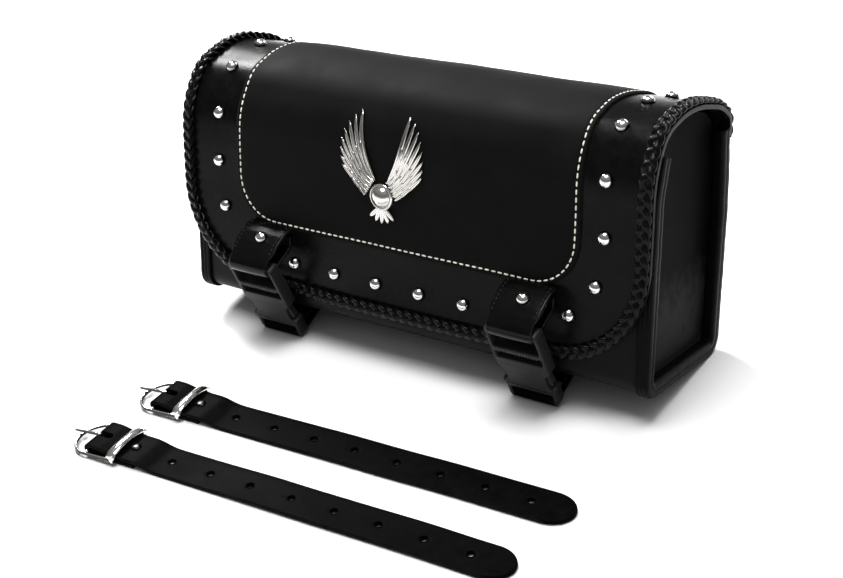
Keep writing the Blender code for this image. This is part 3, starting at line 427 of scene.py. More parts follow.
def closed_sheet(front, back):
    """Vertices and faces of the body between two grids of points of the same shape, and the rim's points."""
    rows, columns = front.shape[:2]
    n = rows * columns
    verts = np.concatenate([front.reshape(-1, 3), back.reshape(-1, 3)])
    faces = grid_faces(rows, columns) + grid_faces(rows, columns, n, True)
    rim = [r * columns for r in range(rows)]
    rim += [(rows - 1) * columns + c for c in range(1, columns)]
    rim += [r * columns + columns - 1 for r in range(rows - 2, -1, -1)]
    rim += [c for c in range(columns - 2, 0, -1)]
    for i, a in enumerate(rim):
        b = rim[(i + 1) % len(rim)]
        faces.append((a, b, b + n, a + n))
    return verts, faces, rim


def swept(track, s, x, h):
    """A grid of points: at distances s along a track in the y-z plane, at places x across it, raised by h."""
    p, n = track.at(s), track.normal(s)
    x, h, _ = np.broadcast_arrays(x, h, s[:, None])
    return np.stack([x, p[:, :1] + n[:, :1] * h, p[:, 1:] + n[:, 1:] * h], -1)


def rounded_path(corners, radii, steps):
    pts = [np.array(corners[0], float)]
    for before, corner, after, radius in zip(corners, corners[1:], corners[2:], radii):
        p0, p1, p2 = (np.array(p, float) for p in (before, corner, after))
        d1, d2 = p1 - p0, p2 - p1
        d1, d2 = d1 / np.linalg.norm(d1), d2 / np.linalg.norm(d2)
        turn = math.atan2(d1[0] * d2[1] - d1[1] * d2[0], d1 @ d2)
        reach = radius * math.tan(abs(turn) / 2)
        normal = np.array([-d1[1], d1[0]]) * (1 if turn > 0 else -1)
        centre = p1 - d1 * reach + normal * radius
        start = p1 - d1 * reach - centre
        for k in range(steps + 1):
            a = turn * k / steps
            c, s = math.cos(a), math.sin(a)
            pts.append(centre + np.array([c * start[0] - s * start[1], s * start[0] + c * start[1]]))
    pts.append(np.array(corners[-1], float))
    return np.array(pts)


def arc(centre, radius, start, end, steps):
    a = np.linspace(start, end, steps + 1)
    return np.stack([centre[0] + radius * np.cos(a), centre[1] + radius * np.sin(a)], 1)


class Track:
    """A polyline in a plane, measured along its length, with outward normals."""

    def __init__(self, points):
        keep = [points[0]]
        for p in points[1:]:
            if np.linalg.norm(np.asarray(p) - keep[-1]) > 1e-4:
                keep.append(np.asarray(p, float))
        self.p = np.array(keep, float)
        self.s = np.concatenate([[0], np.cumsum(np.linalg.norm(np.diff(self.p, axis=0), axis=1))])
        self.length = self.s[-1]

    def at(self, s):
        s = np.clip(s, 0, self.length)
        return np.stack([np.interp(s, self.s, self.p[:, k]) for k in (0, 1)], -1)

    def normal(self, s):
        reach = 0.8
        s = np.asarray(s, float)
        ahead, behind = np.minimum(s + reach, self.length), np.maximum(s - reach, 0)
        d = self.at(ahead) - self.at(behind)
        d = d / np.linalg.norm(d, axis=-1, keepdims=True)
        return np.stack([d[..., 1], -d[..., 0]], -1)


LID_TRACK = Track(rounded_path([(LID_BACK, LID_BACK_EDGE), (LID_BACK, 137.4), (30, 146), (4, 151.2),
                                (-14, 150.2), (-36, 142.5), (LID_FRONT, 121), (LID_FRONT, LID_EDGE)],
                               [9, 40, 60, 60, 22, 45], 16))
LID_L = LID_TRACK.length


def front_s(height):
    return LID_L - (height - LID_EDGE)


def soft(x, s, scale, seed):
    return noise.noise(Vector((x * scale, s * scale, seed)))


def relief(x, s):
    """How far the lid's leather stands off its plain shape: slow waves, and less at the hard edges."""
    wave = 0.55 * soft(x, s, 0.016, 3.0) + 0.25 * soft(x, s, 0.045, 9.0)
    d = min(LID_HALF - abs(x), LID_L - s)
    wave += 0.9 * math.exp(-((abs(x) / 95) ** 4)) * math.exp(-((s - 105) / 42) ** 2) * 0.8
    near_buckle = math.exp(-((abs(x) - BUCKLE_X) / 20) ** 2) * max(0.0, 1 - (LID_L - s) / 34)
    return wave * min(1.0, max(d, 0) / 10) - 0.9 * near_buckle


def edge_lift(x, s):
    """The flap's lower edge rides up a little where the buckles press on it."""
    near = math.exp(-((abs(x) - BUCKLE_X) / 26) ** 2)
    return 2.2 * near * max(0.0, 1 - (LID_L - s) / 40) ** 1.5


def lid_points(x, s, out):
    """Points of the lid's outer face for arrays of x and s, raised by out."""
    x, s = np.broadcast_arrays(np.asarray(x, float), np.asarray(s, float))
    out = np.broadcast_to(np.asarray(out, float), x.shape)
    lifted = np.array([edge_lift(a, b) for a, b in zip(x.ravel(), s.ravel())]).reshape(x.shape)
    bulge = np.array([relief(a, b) for a, b in zip(x.ravel(), s.ravel())]).reshape(x.shape)
    p, n = LID_TRACK.at(s - lifted), LID_TRACK.normal(s - lifted)
    h = out + bulge
    return np.stack([x + LID_X, p[..., 0] + n[..., 0] * h, p[..., 1] + n[..., 1] * h], -1)


def lid_normal_at(s):
    n = LID_TRACK.normal(np.array(s))
    return np.array([0.0, n[0], n[1]])


def corner_inset(distance, radius):
    if distance >= radius:
        return 0.0
    return radius - math.sqrt(max(radius * radius - (radius - distance) ** 2, 0.0))


def outline_grid(start, end, half, r_start, r_end, step, columns, crowd=0.35):
    """x and s of a grid over a rounded rectangle on the lid, crowded towards the edges."""
    stations = list(np.arange(start, end, step)) + [end]
    for k in range(1, 15):
        share = 1 - math.cos(math.pi / 2 * k / 14)
        stations += [start + r_start * share, end - r_end * share]
    stations = sorted(stations)
    kept = [stations[0]]
    for s in stations[1:]:
        if s - kept[-1] > 0.25:
            kept.append(s)
    kept[-1] = end
    u = np.linspace(-1, 1, columns)
    u = u * (1 - crowd) + np.sin(u * math.pi / 2) * crowd
    xs, ss = [], []
    for s in kept:
        inset = max(corner_inset(s - start, r_start), corner_inset(end - s, r_end))
        xs.append(u * (half - inset))
        ss.append(np.full(columns, s))
    return np.array(xs), np.array(ss)


def rim_wear(count, rim):
    """Wear values for a closed sheet of count points to a side: its rim is scuffed, the rest is not."""
    wear_and_light = np.zeros(2 * count)
    wear_and_light[rim] = 1.0
    wear_and_light[np.array(rim) + count] = 1.0
    return wear_and_light


def sheet_on_lid(name, grid, outer, inner, material, slot, rim_round):
    x, s = grid
    verts, faces, rim = closed_sheet(lid_points(x, s, outer), lid_points(x, s, inner))
    thing = make_object(name, verts, faces, material, "lid", slot, wear_and_light=rim_wear(x.size, rim))
    return bevel(thing, rim_round)


# ---------------------------------------------------------------- small repeated things
def capsule(centre, along, up, length, width, height):
    """A stitch: an ellipsoid flattened on the surface, as vertices and faces."""
    segments, rings = 8, 5
    along = along / np.linalg.norm(along)
    side = np.cross(up, along)
    side = side / np.linalg.norm(side)
    top = np.cross(along, side)
    verts, faces = [centre - along * length / 2], []
    for r in range(1, rings):
        a = math.pi * r / rings
        x = -math.cos(a) * length / 2
        w = math.sin(a) ** 0.6
        for k in range(segments):
            b = math.tau * k / segments
            across, raised = side * math.cos(b) * w * width / 2, top * math.sin(b) * w * height / 2
            verts.append(centre + along * x + across + raised)
    verts.append(centre + along * length / 2)
    for k in range(segments):
        j = (k + 1) % segments
        faces.append((0, 1 + j, 1 + k))
        last = 1 + (rings - 2) * segments
        faces.append((last + k, last + j, len(verts) - 1))
        for r in range(rings - 2):
            base = 1 + r * segments
            faces.append((base + k, base + j, base + segments + j, base + segments + k))
    return verts, faces


def stitches(name, points, normals, material, body, slot, pitch, length, width, height, lift=0.1):
    """A row of stitches along a polyline in space."""
    points, normals = np.asarray(points, float), np.asarray(normals, float)
    run = np.concatenate([[0], np.cumsum(np.linalg.norm(np.diff(points, axis=0), axis=1))])
    count = max(int(run[-1] / pitch), 1)
    parts = []
    for k in range(count):
        mid = (k + 0.5) * run[-1] / count
        ends = [np.array([np.interp(mid + d, run, points[:, i]) for i in range(3)])
                for d in (-length / 2, length / 2)]
        up = np.array([np.interp(mid, run, normals[:, i]) for i in range(3)])
        up = up / np.linalg.norm(up)
        along = ends[1] - ends[0]
        sway = np.cross(up, along) * 0.03 * math.sin(k * 12.9)
        parts.append(capsule((ends[0] + ends[1]) / 2 + up * lift + sway, along, up, length, width, height))
    return make_object(name, *join(parts), material, body, slot)


def ring_faces(rings, size):
    """Faces between neighbouring rings of points, then one face over each end."""
    faces = []
    for b in range(0, (rings - 1) * size, size):
        for k in range(size):
            j = (k + 1) % size
            faces.append((b + k, b + j, b + size + j, b + size + k))
    faces.append(tuple(range(size))[::-1])
    faces.append(tuple(range((rings - 1) * size, rings * size)))
    return faces


def spin_profile(profile, centre, axis, segments=24):
    """A turned shape: (radius, height) pairs about an axis, as vertices and faces."""
    axis = axis / np.linalg.norm(axis)
    side = np.cross(axis, [1, 0, 0] if abs(axis[0]) < 0.9 else [0, 1, 0])
    side = side / np.linalg.norm(side)
    other = np.cross(axis, side)
    verts = []
    for radius, height in profile:
        for k in range(segments):
            a = math.tau * k / segments
            out = side * math.cos(a) + other * math.sin(a)
            verts.append(centre + axis * height + out * max(radius, 1e-3))
    return verts, ring_faces(len(profile), segments)


# A stud's profile as (radius, height), and how bright each ring of its 24 points is: the low rings are
# painted dark, a painted reflection of the black leather round the stud
STUD = [(3.75, -0.1), (3.9, 0.25), (3.8, 0.75), (3.55, 1.45), (3.1, 2.15), (2.45, 2.75), (1.7, 3.15),
        (0.85, 3.36), (0.25, 3.42)]
STUD_PAINTED_REFLECTION = [w for w in (0.2, 0.2, 0.3, 0.45, 0.8, 1, 1, 1, 1) for _ in range(24)]


def join(parts):
    verts, faces = [], []
    for v, f in parts:
        base = len(verts)
        verts += list(v)
        faces += [tuple(i + base for i in face) for face in f]
    return verts, faces


def tube(route, radius, segments, normal=None):
    """A tube along 3-D points; radius may be one number or one for each point."""
    route = np.asarray(route, float)
    radius = np.broadcast_to(np.asarray(radius, float), (len(route),))
    tangent = np.gradient(route, axis=0)
    tangent /= np.linalg.norm(tangent, axis=1, keepdims=True)
    up = np.array([0, 0, 1.0]) if normal is None else np.asarray(normal, float)
    verts = []
    for i, (p, t) in enumerate(zip(route, tangent)):
        u = up[i] if up.ndim == 2 else up
        side = np.cross(t, u)
        if np.linalg.norm(side) < 1e-3:
            side = np.cross(t, [0, 1, 0])
        side /= np.linalg.norm(side)
        top = np.cross(side, t)
        for k in range(segments):
            a = math.tau * k / segments
            verts.append(p + (side * math.cos(a) + top * math.sin(a)) * radius[i])
    return verts, ring_faces(len(route), segments)


# ---------------------------------------------------------------- lid
# How far the sewn panel lies from its CAD solid, to the right and down, and its seam from its edge
PANEL_SHIFT = 0.7
PANEL_DROP = 1.4
SEAM_INSET = 2.7


def make_lid():
    shell = sheet_on_lid("lid_leather", outline_grid(0, LID_L, LID_HALF, 5, LID_R, 2.6, 110), 0.0, -LID_T,
                         LEATHER, "black_leatherette", 0.8)
    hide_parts("lid_shell")
    lining = sheet_on_lid("lid_lining_cloth", outline_grid(8, LID_L - 14, 139, 4, 40, 4, 50), -LID_T - 0.25,
                          -LID_T - 0.9, CLOTH, "lining_cloth", 0.2)
    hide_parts("lid_lining")


def make_panel():
    """The panel with its raised middle, the groove that its seam presses in, and the cream stitches."""
    end = front_s(PANEL_BOTTOM) + PANEL_DROP
    x, s = outline_grid(10, end, PANEL_HALF, 10, PANEL_R, 1.5, 150, 0.5)
    edge = np.minimum(PANEL_HALF - np.abs(x), np.minimum(s - 10, end - s))
    corner_x, corner_s = np.abs(x) - (PANEL_HALF - PANEL_R), s - (end - PANEL_R)
    in_corner = (corner_x > 0) & (corner_s > 0)
    edge = np.where(in_corner, np.minimum(edge, PANEL_R - np.hypot(corner_x, corner_s)), edge)
    edge = np.maximum(edge, 0)
    height = PANEL_T * np.clip(0.55 + 0.45 * np.minimum(edge / 1.0, 1), 0, 1)
    height -= 0.55 * np.exp(-((edge - SEAM_INSET) / 0.75) ** 2)
    height += 0.5 * (1 - np.exp(-np.maximum(edge - 3, 0) / 9))
    verts, faces, _ = closed_sheet(*[lid_points(x + PANEL_SHIFT, s, h) for h in (height, 0.05)])
    panel = make_object("lid_panel_nubuck", verts, faces, NUBUCK, "lid", "black_nubuck")
    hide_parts("lid_panel")

    seam_half, seam_end = PANEL_HALF - SEAM_INSET, end - SEAM_INSET
    corners = [(seam_half, 14), (seam_half, seam_end), (-seam_half, seam_end), (-seam_half, 14)]
    dense = Track(rounded_path(corners, [PANEL_R - SEAM_INSET] * 2, 24))
    along = np.arange(0, dense.length, 0.8)
    xs = dense.at(along)
    seam = lid_points(xs[:, 0] + PANEL_SHIFT, xs[:, 1], PANEL_T - 0.35)
    ups = np.stack([np.zeros(len(xs)), *LID_TRACK.normal(xs[:, 1]).T], 1)
    stitches("lid_panel_stitches", seam, ups, CREAM, "lid", "black_nubuck", 4.1, 2.9, 1.0, 0.75)


BRAID_PERIOD = 19.0


def make_braid():
    """Three flat laces plaited along the lid's edge."""
    half, inset = LID_HALF, BRAID_W / 2 - 0.2
    line = half - inset
    radius = LID_R - inset
    corners = [(line, 0.8), (line, LID_L - inset), (-line, LID_L - inset), (-line, 0.8)]
    route = Track(rounded_path(corners, [radius, radius], 40))
    along = np.arange(0, route.length, 0.75)
    centre = route.at(along)
    across = route.normal(along)
    parts, crest_light_and_mottle = [], []
    base = lid_points(centre[:, 0], centre[:, 1], 0.0)
    side3 = lid_points(centre[:, 0] + across[:, 0], centre[:, 1] + across[:, 1], 0.0) - base
    side3 /= np.linalg.norm(side3, axis=1, keepdims=True)
    up3 = np.stack([np.zeros(len(centre)), *LID_TRACK.normal(centre[:, 1]).T], 1)
    press = np.array([math.exp(-((abs(c[0]) - BUCKLE_X) / 17) ** 2) * (1 if c[1] > LID_L - 12 else 0)
                      for c in centre])
    phase = math.tau * along / BRAID_PERIOD
    for strand in range(3):
        t = phase + math.tau * strand / 3
        u = 2.25 * np.sin(t)
        h = 1.7 + 0.8 * np.sin(2 * t)
        h = h * (1 - 0.45 * press)
        middle = base + side3 * u[:, None] + up3 * h[:, None]
        tangent = np.gradient(middle, axis=0)
        tangent /= np.linalg.norm(tangent, axis=1, keepdims=True)
        verts = []
        ring = 12
        for i, p in enumerate(middle):
            roll = -0.42 * math.cos(t[i]) * math.sin(t[i]) * 2
            lace = np.cross(up3[i], tangent[i])
            lace /= np.linalg.norm(lace)
            top = np.cross(tangent[i], lace)
            cos, sin = math.cos(roll), math.sin(roll)
            lace, top = lace * cos + top * sin, top * cos - lace * sin
            for k in range(ring):
                a = math.tau * k / ring
                c, q = math.cos(a), math.sin(a)
                wide = 1.95 * math.copysign(abs(c) ** 0.75, c)
                high = 1.12 * math.copysign(abs(q) ** 0.85, q)
                verts.append(p + lace * wide + top * high)
                # Painted highlight: the upper face of each lace is paler where it rides highest; the noise
                # adds random mottling.
                wear_and_light_value = 0.55 * max(q, 0) ** 2 * max(0.0, math.sin(2 * t[i]))
                crest_light_and_mottle.append(wear_and_light_value + 0.2 * soft(i * 0.3, strand, 1, 5))
        parts.append((verts, ring_faces(len(middle), ring)))
    verts, faces = join(parts)
    braid = make_object("lid_braid_plait", verts, faces, PLAIT, "lid", "plaited_leather", wear_and_light=crest_light_and_mottle)
    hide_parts("lid_braid")


def stud_places():
    places = [(side * x, front_s(33)) for side in (-1, 1) for x in (14.9, 44.5, 74)]
    columns = ((111, 41.5), (126, 60.5), (130, 88), (129.5, 117.5))
    places += [(side * x, front_s(z)) for side in (-1, 1) for x, z in columns]
    places += [(side * 130.5, front_s(117.5) - 29 * k) for side in (-1, 1) for k in (1, 2, 3, 4)]
    return places


def make_studs():
    parts = []
    for x, s in stud_places():
        at = lid_points([x], [s], 0.0)[0]
        parts.append(spin_profile(STUD, at, lid_normal_at(s)))
    verts, faces = join(parts)
    # Painted reflection: the studs' low rings are dark, like the black leather round them mirrored in chrome.
    studs = make_object("lid_studs_domed", verts, faces, STUD_CHROME, "lid", "chrome",
                        wear_and_light=STUD_PAINTED_REFLECTION * len(parts))
    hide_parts(*[f"lid_stud_{k:02d}" for k in range(1, 23)])


# A feather's cross-section: places across it (half widths), heights (shares) and brightness, with painted
# shade darkening its edges and middle groove
FEATHER = ((-1, 0.0, 0.1), (-0.8, 0.75, 0.75), (-0.25, 1.0, 1.0), (0.0, 0.72, 0.25), (0.25, 1.0, 1.0),
           (0.8, 0.75, 0.75), (1, 0.0, 0.1))

# Rows of feathers on a wing: how many, reach, width, thickness and lift
FEATHER_ROWS = ((8, 50, 3.1, 1.5, 0.3), (7, 34, 2.7, 1.4, 1.1), (5, 22, 2.4, 1.3, 1.8))


def make_emblem():
    """A generic winged boss: a plain dome, a small tail fan, and two wings of overlapping feathers."""
    face = LID_FRONT - PANEL_T - 0.6
    centre = np.array([-8.0, 84.0])

    def follow_lid(verts):
        """Bends points drawn over a flat lid front to the lid's own curve."""
        verts = np.array(verts, float)
        return lid_points(verts[:, 0], front_s(verts[:, 2]), LID_FRONT - verts[:, 1])

    parts, wear_and_light = [], []

    def feather(root, tip, width, thick, lift, bend):
        root, tip = np.array(root, float), np.array(tip, float)
        d = tip - root
        side = np.array([-d[1], d[0]]) / np.linalg.norm(d)
        n = 12
        verts = []
        for i in range(n + 1):
            q = i / n
            mid = root + d * q + side * bend * math.sin(q * math.pi)
            belly = 0.55 + 0.45 * math.sin(min(q * 1.6, 1) * math.pi / 2)
            w = width * belly * math.sqrt(max(1 - q ** 5, 0.02))
            h = lift + thick * (1 - 0.45 * q)
            for a, b, wear_and_light_value in FEATHER:
                at = mid + side * w * a / 2
                verts.append(np.array([at[0], face - 0.1 - h * b, at[1]]))
                wear_and_light.append(wear_and_light_value)
            verts.append(np.array([mid[0], face + 0.5, mid[1]]))
            wear_and_light.append(0.0)
        parts.append((verts, ring_faces(n + 1, len(verts) // (n + 1))))

    for hand in (-1, 1):
        for row, (count, reach, wide, thick, lift) in enumerate(FEATHER_ROWS):
            for k in range(count):
                q = k / (count - 1)
                angle = math.radians(76 - 38 * q - row * 3)
                length = reach * (1 - 0.42 * q ** 1.3)
                start = centre + np.array([hand * (4.5 + 6 * q), 3 + 9 * (1 - q)])
                tip = centre + np.array([hand * (math.cos(angle) * length + 4), math.sin(angle) * length])
                feather(start, tip, wide, thick, lift, -hand * 2.2 * (1 - q))
    for k in range(5):
        a = math.radians(-90 + (k - 2) * 20)
        tip = centre + np.array([math.cos(a) * 12.5, math.sin(a) * 12.5])
        feather(centre + np.array([0, -2]), tip, 3.4, 1.4, 0.2, 0)
    boss = [(7.6, 0.0), (7.9, 1.0), (7.4, 1.9), (6.4, 2.1), (6.1, 1.9), (5.8, 2.3), (5.0, 3.4), (3.8, 4.3),
            (2.3, 4.9), (0.9, 5.1), (0.2, 5.12)]
    v, f = spin_profile(boss, np.array([centre[0], face, centre[1] + 3]), np.array([0, -1.0, 0]), 32)
    parts.append((v, f))
    # Painted shade: the boss's ring groove is darkened.
    for radius, _ in boss:
        wear_and_light += [0.3 if 6.0 < radius < 6.5 else 1.0] * 32
    verts, faces = join(parts)
    emblem = make_object("winged_ornament", follow_lid(verts), faces, OLD_CHROME, "lid", "chrome", wear_and_light=wear_and_light)
    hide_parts("emblem")


# ---------------------------------------------------------------- ribbons of leather in the y-z plane
def ribbon(name, path, centre_x, half, thick, material, body, slot, step, columns, crown=0.0, round_edge=0.6,
           narrow=None, rides=True):
    """A strip of leather that follows a path of its middle surface, closed and with rounded edges.

    narrow is (from, to, amount): the half width shrinks by amount between two distances along the strip."""
    track = Track(path)
    count = max(int(track.length / step), 8)
    s = np.linspace(0, track.length, count)
    u = np.linspace(-1, 1, columns)
    u = u * 0.7 + np.sin(u * math.pi / 2) * 0.3
    width = np.full(count, float(half))
    if narrow:
        width -= narrow[2] * smooth_step(s, narrow[0], narrow[1])
    x = centre_x + u * width[:, None]
    puff = crown * (1 - u ** 2)
    verts, faces, rim = closed_sheet(swept(track, s, x, thick / 2 + puff),
                                     swept(track, s, x, -thick / 2 + puff))
    thing = make_object(name, verts, faces, material, body if rides else None, slot,
                        wear_and_light=rim_wear(x.size, rim))
    return bevel(thing, round_edge), track


def tangent_angle(centre, radius, point, side):
    away = np.array(point) - np.array(centre)
    return math.atan2(away[1], away[0]) + side * math.acos(radius / np.linalg.norm(away))


def wrap_path(centre, radius, before, after, lead, tail):
    """Straight to a bar, round it, and straight back: the middle line of a folded strap."""
    start = tangent_angle(centre, radius, before, 1)
    end = tangent_angle(centre, radius, after, -1)
    while end < start:
        end += math.tau
    return np.concatenate([lead, arc(centre, radius, start, end, 28), tail])


def make_tabs():
    radius = 2.0 * math.sqrt(2) + GAP + TAB_T / 2
    face = LID_FRONT - GAP - TAB_T / 2
    lead = [(face + 0.3, PANEL_BOTTOM - 0.5), (face - 1.6, 55.2), (face - 5.0, 54.2), (face - 9.5, 51.6),
            (face - 14.5, 47.8), (face - 19.0, 43.2), (face - 22.2, 39.2)]
    tail = [(face - 0.6, 43.4), (face, 45.0), (face, 50.5)]
    path = wrap_path(TOP_BAR, radius, lead[-1], tail[0], lead, tail)
    for side, hand in SIDES:
        x = side * BUCKLE_X + LID_X
        tab, track = ribbon(f"tab_{hand}_leather", path, x, 15.3, TAB_T, TAB_LEATHER, "lid",
                            "black_leatherette", 0.9, 21, 0.3, narrow=(21, 26, 1.5))
        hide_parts(f"tab_{hand}")
        s = np.arange(2, 24, 0.8)
        p, n = track.at(s), track.normal(s)
        # the outer face of the front layer is on the side of smaller y
        sign = -1 if n[8, 0] > 0 else 1
        ups = np.stack([np.zeros(len(s)), n[:, 0] * sign, n[:, 1] * sign], 1)
        for edge in (-1, 1):
            points = np.stack([np.full(len(s), x + edge * 13.0), p[:, 0] + ups[:, 1] * 1.15,
                               p[:, 1] + ups[:, 2] * 1.15], 1)
            stitches(f"tab_{hand}_stitches_{'right' if edge > 0 else 'left'}", points, ups, BLACK_THREAD,
                     "lid", "black_leatherette", 2.7, 1.5, 0.5, 0.4)
        stud_s = np.array(13.5)
        at, up = track.at(stud_s), track.normal(stud_s) * sign
        v, f = spin_profile(STUD, np.array([x + 2.0, at[0] + up[0] * 1.35, at[1] + up[1] * 1.35]),
                            np.array([0, up[0], up[1]]))
        # Painted reflection: the stud's low rings are dark.
        stud = make_object(f"tab_stud_{hand}_domed", v, f, STUD_CHROME, "lid", "chrome", wear_and_light=STUD_PAINTED_REFLECTION)
        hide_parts(f"tab_stud_{hand}")


def make_anchors():
    radius = 1.8 * math.sqrt(2) + GAP + ANCHOR_T / 2
    upper = BODY_BOTTOM - GAP - ANCHOR_T / 2
    lower = upper - 1.9
    lead = [(14, upper), (-19.8, upper), (-21, upper - 0.1)]
    tail = [(-16.5, lower), (-15, lower), (4, lower)]
    path = wrap_path(BASE_BAR, radius, (-21, upper), tail[0], lead, tail)
    for side, hand in SIDES:
        x = side * BUCKLE_X + LID_X
        anchor, _ = ribbon(f"buckle_anchor_{hand}_leather", path, x, 12.7, ANCHOR_T, STRAP_LEATHER, "bag",
                           "strap_leather", 1.2, 13, 0.0)
        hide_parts(f"buckle_anchor_{hand}")
        line = np.array([(x - 9 + 18 * q, 0.0, lower - 0.85) for q in np.linspace(0, 1, 20)])
        down = np.tile([0, 0, -1.0], (20, 1))
        stitches(f"buckle_anchor_{hand}_stitches", line, down, BLACK_THREAD, "bag", "strap_leather", 3.4, 2.2,
                 0.6, 0.5, lift=0.05)


# ---------------------------------------------------------------- side-release buckles
def buckle_points(side, pts):
    """(t, s, n) of a buckle to the bag's frame."""
    pts = np.asarray(pts, float)
    foot = np.array(TOP_BAR) + DOWN * TOP_S
    y = foot[0] - DOWN[0] * pts[:, 1] + OUT[0] * pts[:, 2]
    z = foot[1] - DOWN[1] * pts[:, 1] + OUT[1] * pts[:, 2]
    return np.stack([side * BUCKLE_X + LID_X + pts[:, 0], y, z], 1)


def plate(outline, holes, low, high, rounding):
    """A flat moulding from an outline and holes, with rounded edges, as a mesh in (t, s, n)."""
    curve = bpy.data.curves.new("plate", "CURVE")
    curve.dimensions = "2D"
    curve.fill_mode = "BOTH"
    curve.extrude = (high - low) / 2 - rounding
    curve.bevel_depth = rounding
    curve.bevel_resolution = 2
    curve.offset = -rounding
    for loop in [outline] + holes:
        spline = curve.splines.new("POLY")
        spline.points.add(len(loop) - 1)
        for point, co in zip(spline.points, loop):
            point.co = (co[0], co[1], 0, 1)
        spline.use_cyclic_u = True
    thing = linked("plate", curve)
    mesh = bpy.data.meshes.new_from_object(thing.evaluated_get(bpy.context.evaluated_depsgraph_get()))
    bm = bmesh.new()
    bm.from_mesh(mesh)
    bmesh.ops.remove_doubles(bm, verts=bm.verts, dist=0.002)
    verts = [np.array(v.co) + np.array([0, 0, (low + high) / 2]) for v in bm.verts]
    faces = [tuple(v.index for v in f.verts) for f in bm.faces]
    bm.free()
    bpy.data.objects.remove(thing)
    bpy.data.curves.remove(curve)
    bpy.data.meshes.remove(mesh)
    return verts, faces


def smooth_outline(corners, radius, steps=4):
    """A closed outline through corners, each rounded."""
    out = []
    n = len(corners)
    for i in range(n):
        before, corner, after = (np.array(corners[(i + d) % n], float) for d in (-1, 0, 1))
        r = radius[i] if isinstance(radius, (list, tuple)) else radius
        d1, d2 = corner - before, after - corner
        l1, l2 = np.linalg.norm(d1), np.linalg.norm(d2)
        d1, d2 = d1 / l1, d2 / l2
        turn = abs(math.atan2(d1[0] * d2[1] - d1[1] * d2[0], d1 @ d2))
        reach = min(r * math.tan(turn / 2), l1 * 0.45, l2 * 0.45)
        if reach < 0.02:
            out.append(corner)
            continue
        a, b = corner - d1 * reach, corner + d2 * reach
        for k in range(steps + 1):
            q = k / steps
            out.append(a * (1 - q) ** 2 + corner * 2 * q * (1 - q) + b * q * q)
    return out


def box_part(low, high):
    x0, y0, z0 = low
    x1, y1, z1 = high
    verts = [np.array(v, float) for v in ((x0, y0, z0), (x1, y0, z0), (x1, y1, z0), (x0, y1, z0),
                                          (x0, y0, z1), (x1, y0, z1), (x1, y1, z1), (x0, y1, z1))]
    faces = [(0, 3, 2, 1), (4, 5, 6, 7), (0, 1, 5, 4), (1, 2, 6, 5), (2, 3, 7, 6), (3, 0, 4, 7)]
    return verts, faces


def socket_plate():
    """The socket's outline: waisted at the latch windows, with two slots for the tab."""
    h, rail = SOCKET_HALF, 14.3
    window = [(h, 27.8), (h - 2.0, 26.8), (h - 3.8, 23.5), (h - 4.2, 20.0), (h - 3.9, 17.4), (h - 2.6, 15.4),
              (h, 14.6)]
    right = [(h, 12.5)] + window[::-1] + [(h, 33.5), (h, 48), (h - 0.3, 59.2)]
    radii = [0.8] + [0.5] * len(window) + [4, 4, 2.2]
    slots = [smooth_outline([(-rail, low), (rail, low), (rail, high), (-rail, high)], 0.8)
             for low, high in ((43.8, 55.5), (34.6, 40.2))]
    outline = right + [(-a, b) for a, b in reversed(right)]
    return plate(smooth_outline(outline, radii + radii[::-1]), slots, -4.0, 4.0, 0.8)


def socket_rib(k):
    left, right = -13.6 + 1.7 * k, -12.7 + 1.7 * k
    corners = [(left, 40.5), (right, 40.5), (right, 43.5), (left, 43.5)]
    return plate(smooth_outline(corners, 0.3, 2), [], 3.4, 4.5, 0.25)


def plug_body():
    """The plug's base with a slot for the anchor, and its middle blade."""
    p = PLUG_HALF
    corners = [(-p + 1.2, 0), (p - 1.2, 0), (p, 3), (p, 11.9), (-p, 11.9), (-p, 3)]
    slot = smooth_outline([(-13.0, 4.8), (13.0, 4.8), (13.0, 9.0), (-13.0, 9.0)], 0.7)
    base = plate(smooth_outline(corners, [1.5, 1.5, 2, 0.6, 0.6, 2]), [slot], -3.6, 3.6, 0.6)
    tip = [(-2.6, 10.5), (2.6, 10.5), (2.4, 30), (1.2, 31), (-1.2, 31), (-2.4, 30)]
    return join([base, plate(smooth_outline(tip, 0.8), [], -1.8, 1.8, 0.4)])


def latch_arm(hand):
    """A springy arm with its button; hand is -1 or 1."""
    b = SOCKET_HALF - 1.4
    arm = [(8.5, 12.8), (10.4, 12.8), (10.7, 15.6), (b - 1.2, 15.8), (b, 17.2), (b - 0.1, 20.5),
           (b - 0.9, 24.5), (12.4, 28.4), (10.4, 31), (8.3, 31), (8.3, 26)]
    return plate(smooth_outline([(hand * a, s) for a, s in arm], 0.8), [], -2.1, 2.1, 0.45)


def make_buckles():
    sleeve, ribs = socket_plate(), [socket_rib(k) for k in range(16)]
    for side, hand in SIDES:
        v, f = sleeve
        socket = make_object(f"buckle_socket_{hand}_moulding", buckle_points(side, v), f, PLASTIC,
                             f"socket_{hand}", "moulded_plastic")
        hollow(socket, side)
        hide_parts(f"buckle_socket_{hand}")
        v, f = join(ribs)
        make_object(f"buckle_socket_{hand}_ribs", buckle_points(side, v), f, PLASTIC_LIGHT, f"socket_{hand}",
                    "moulded_plastic", smooth=False)
        v, f = plug_body()
        plug = make_object(f"buckle_plug_{hand}_moulding", buckle_points(side, v), f, PLASTIC, f"plug_{hand}",
                           "moulded_plastic")
        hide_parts(f"buckle_plug_{hand}")
        for which in (-1, 1):
            place = "outer" if which == side else "inner"
            v, f = latch_arm(which)
            piece = make_object(f"latch_arm_{hand}_{place}_moulding", buckle_points(side, v), f, PLASTIC,
                                f"arm_{hand}_{place}", "moulded_plastic")
            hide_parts(f"latch_arm_{hand}_{place}")


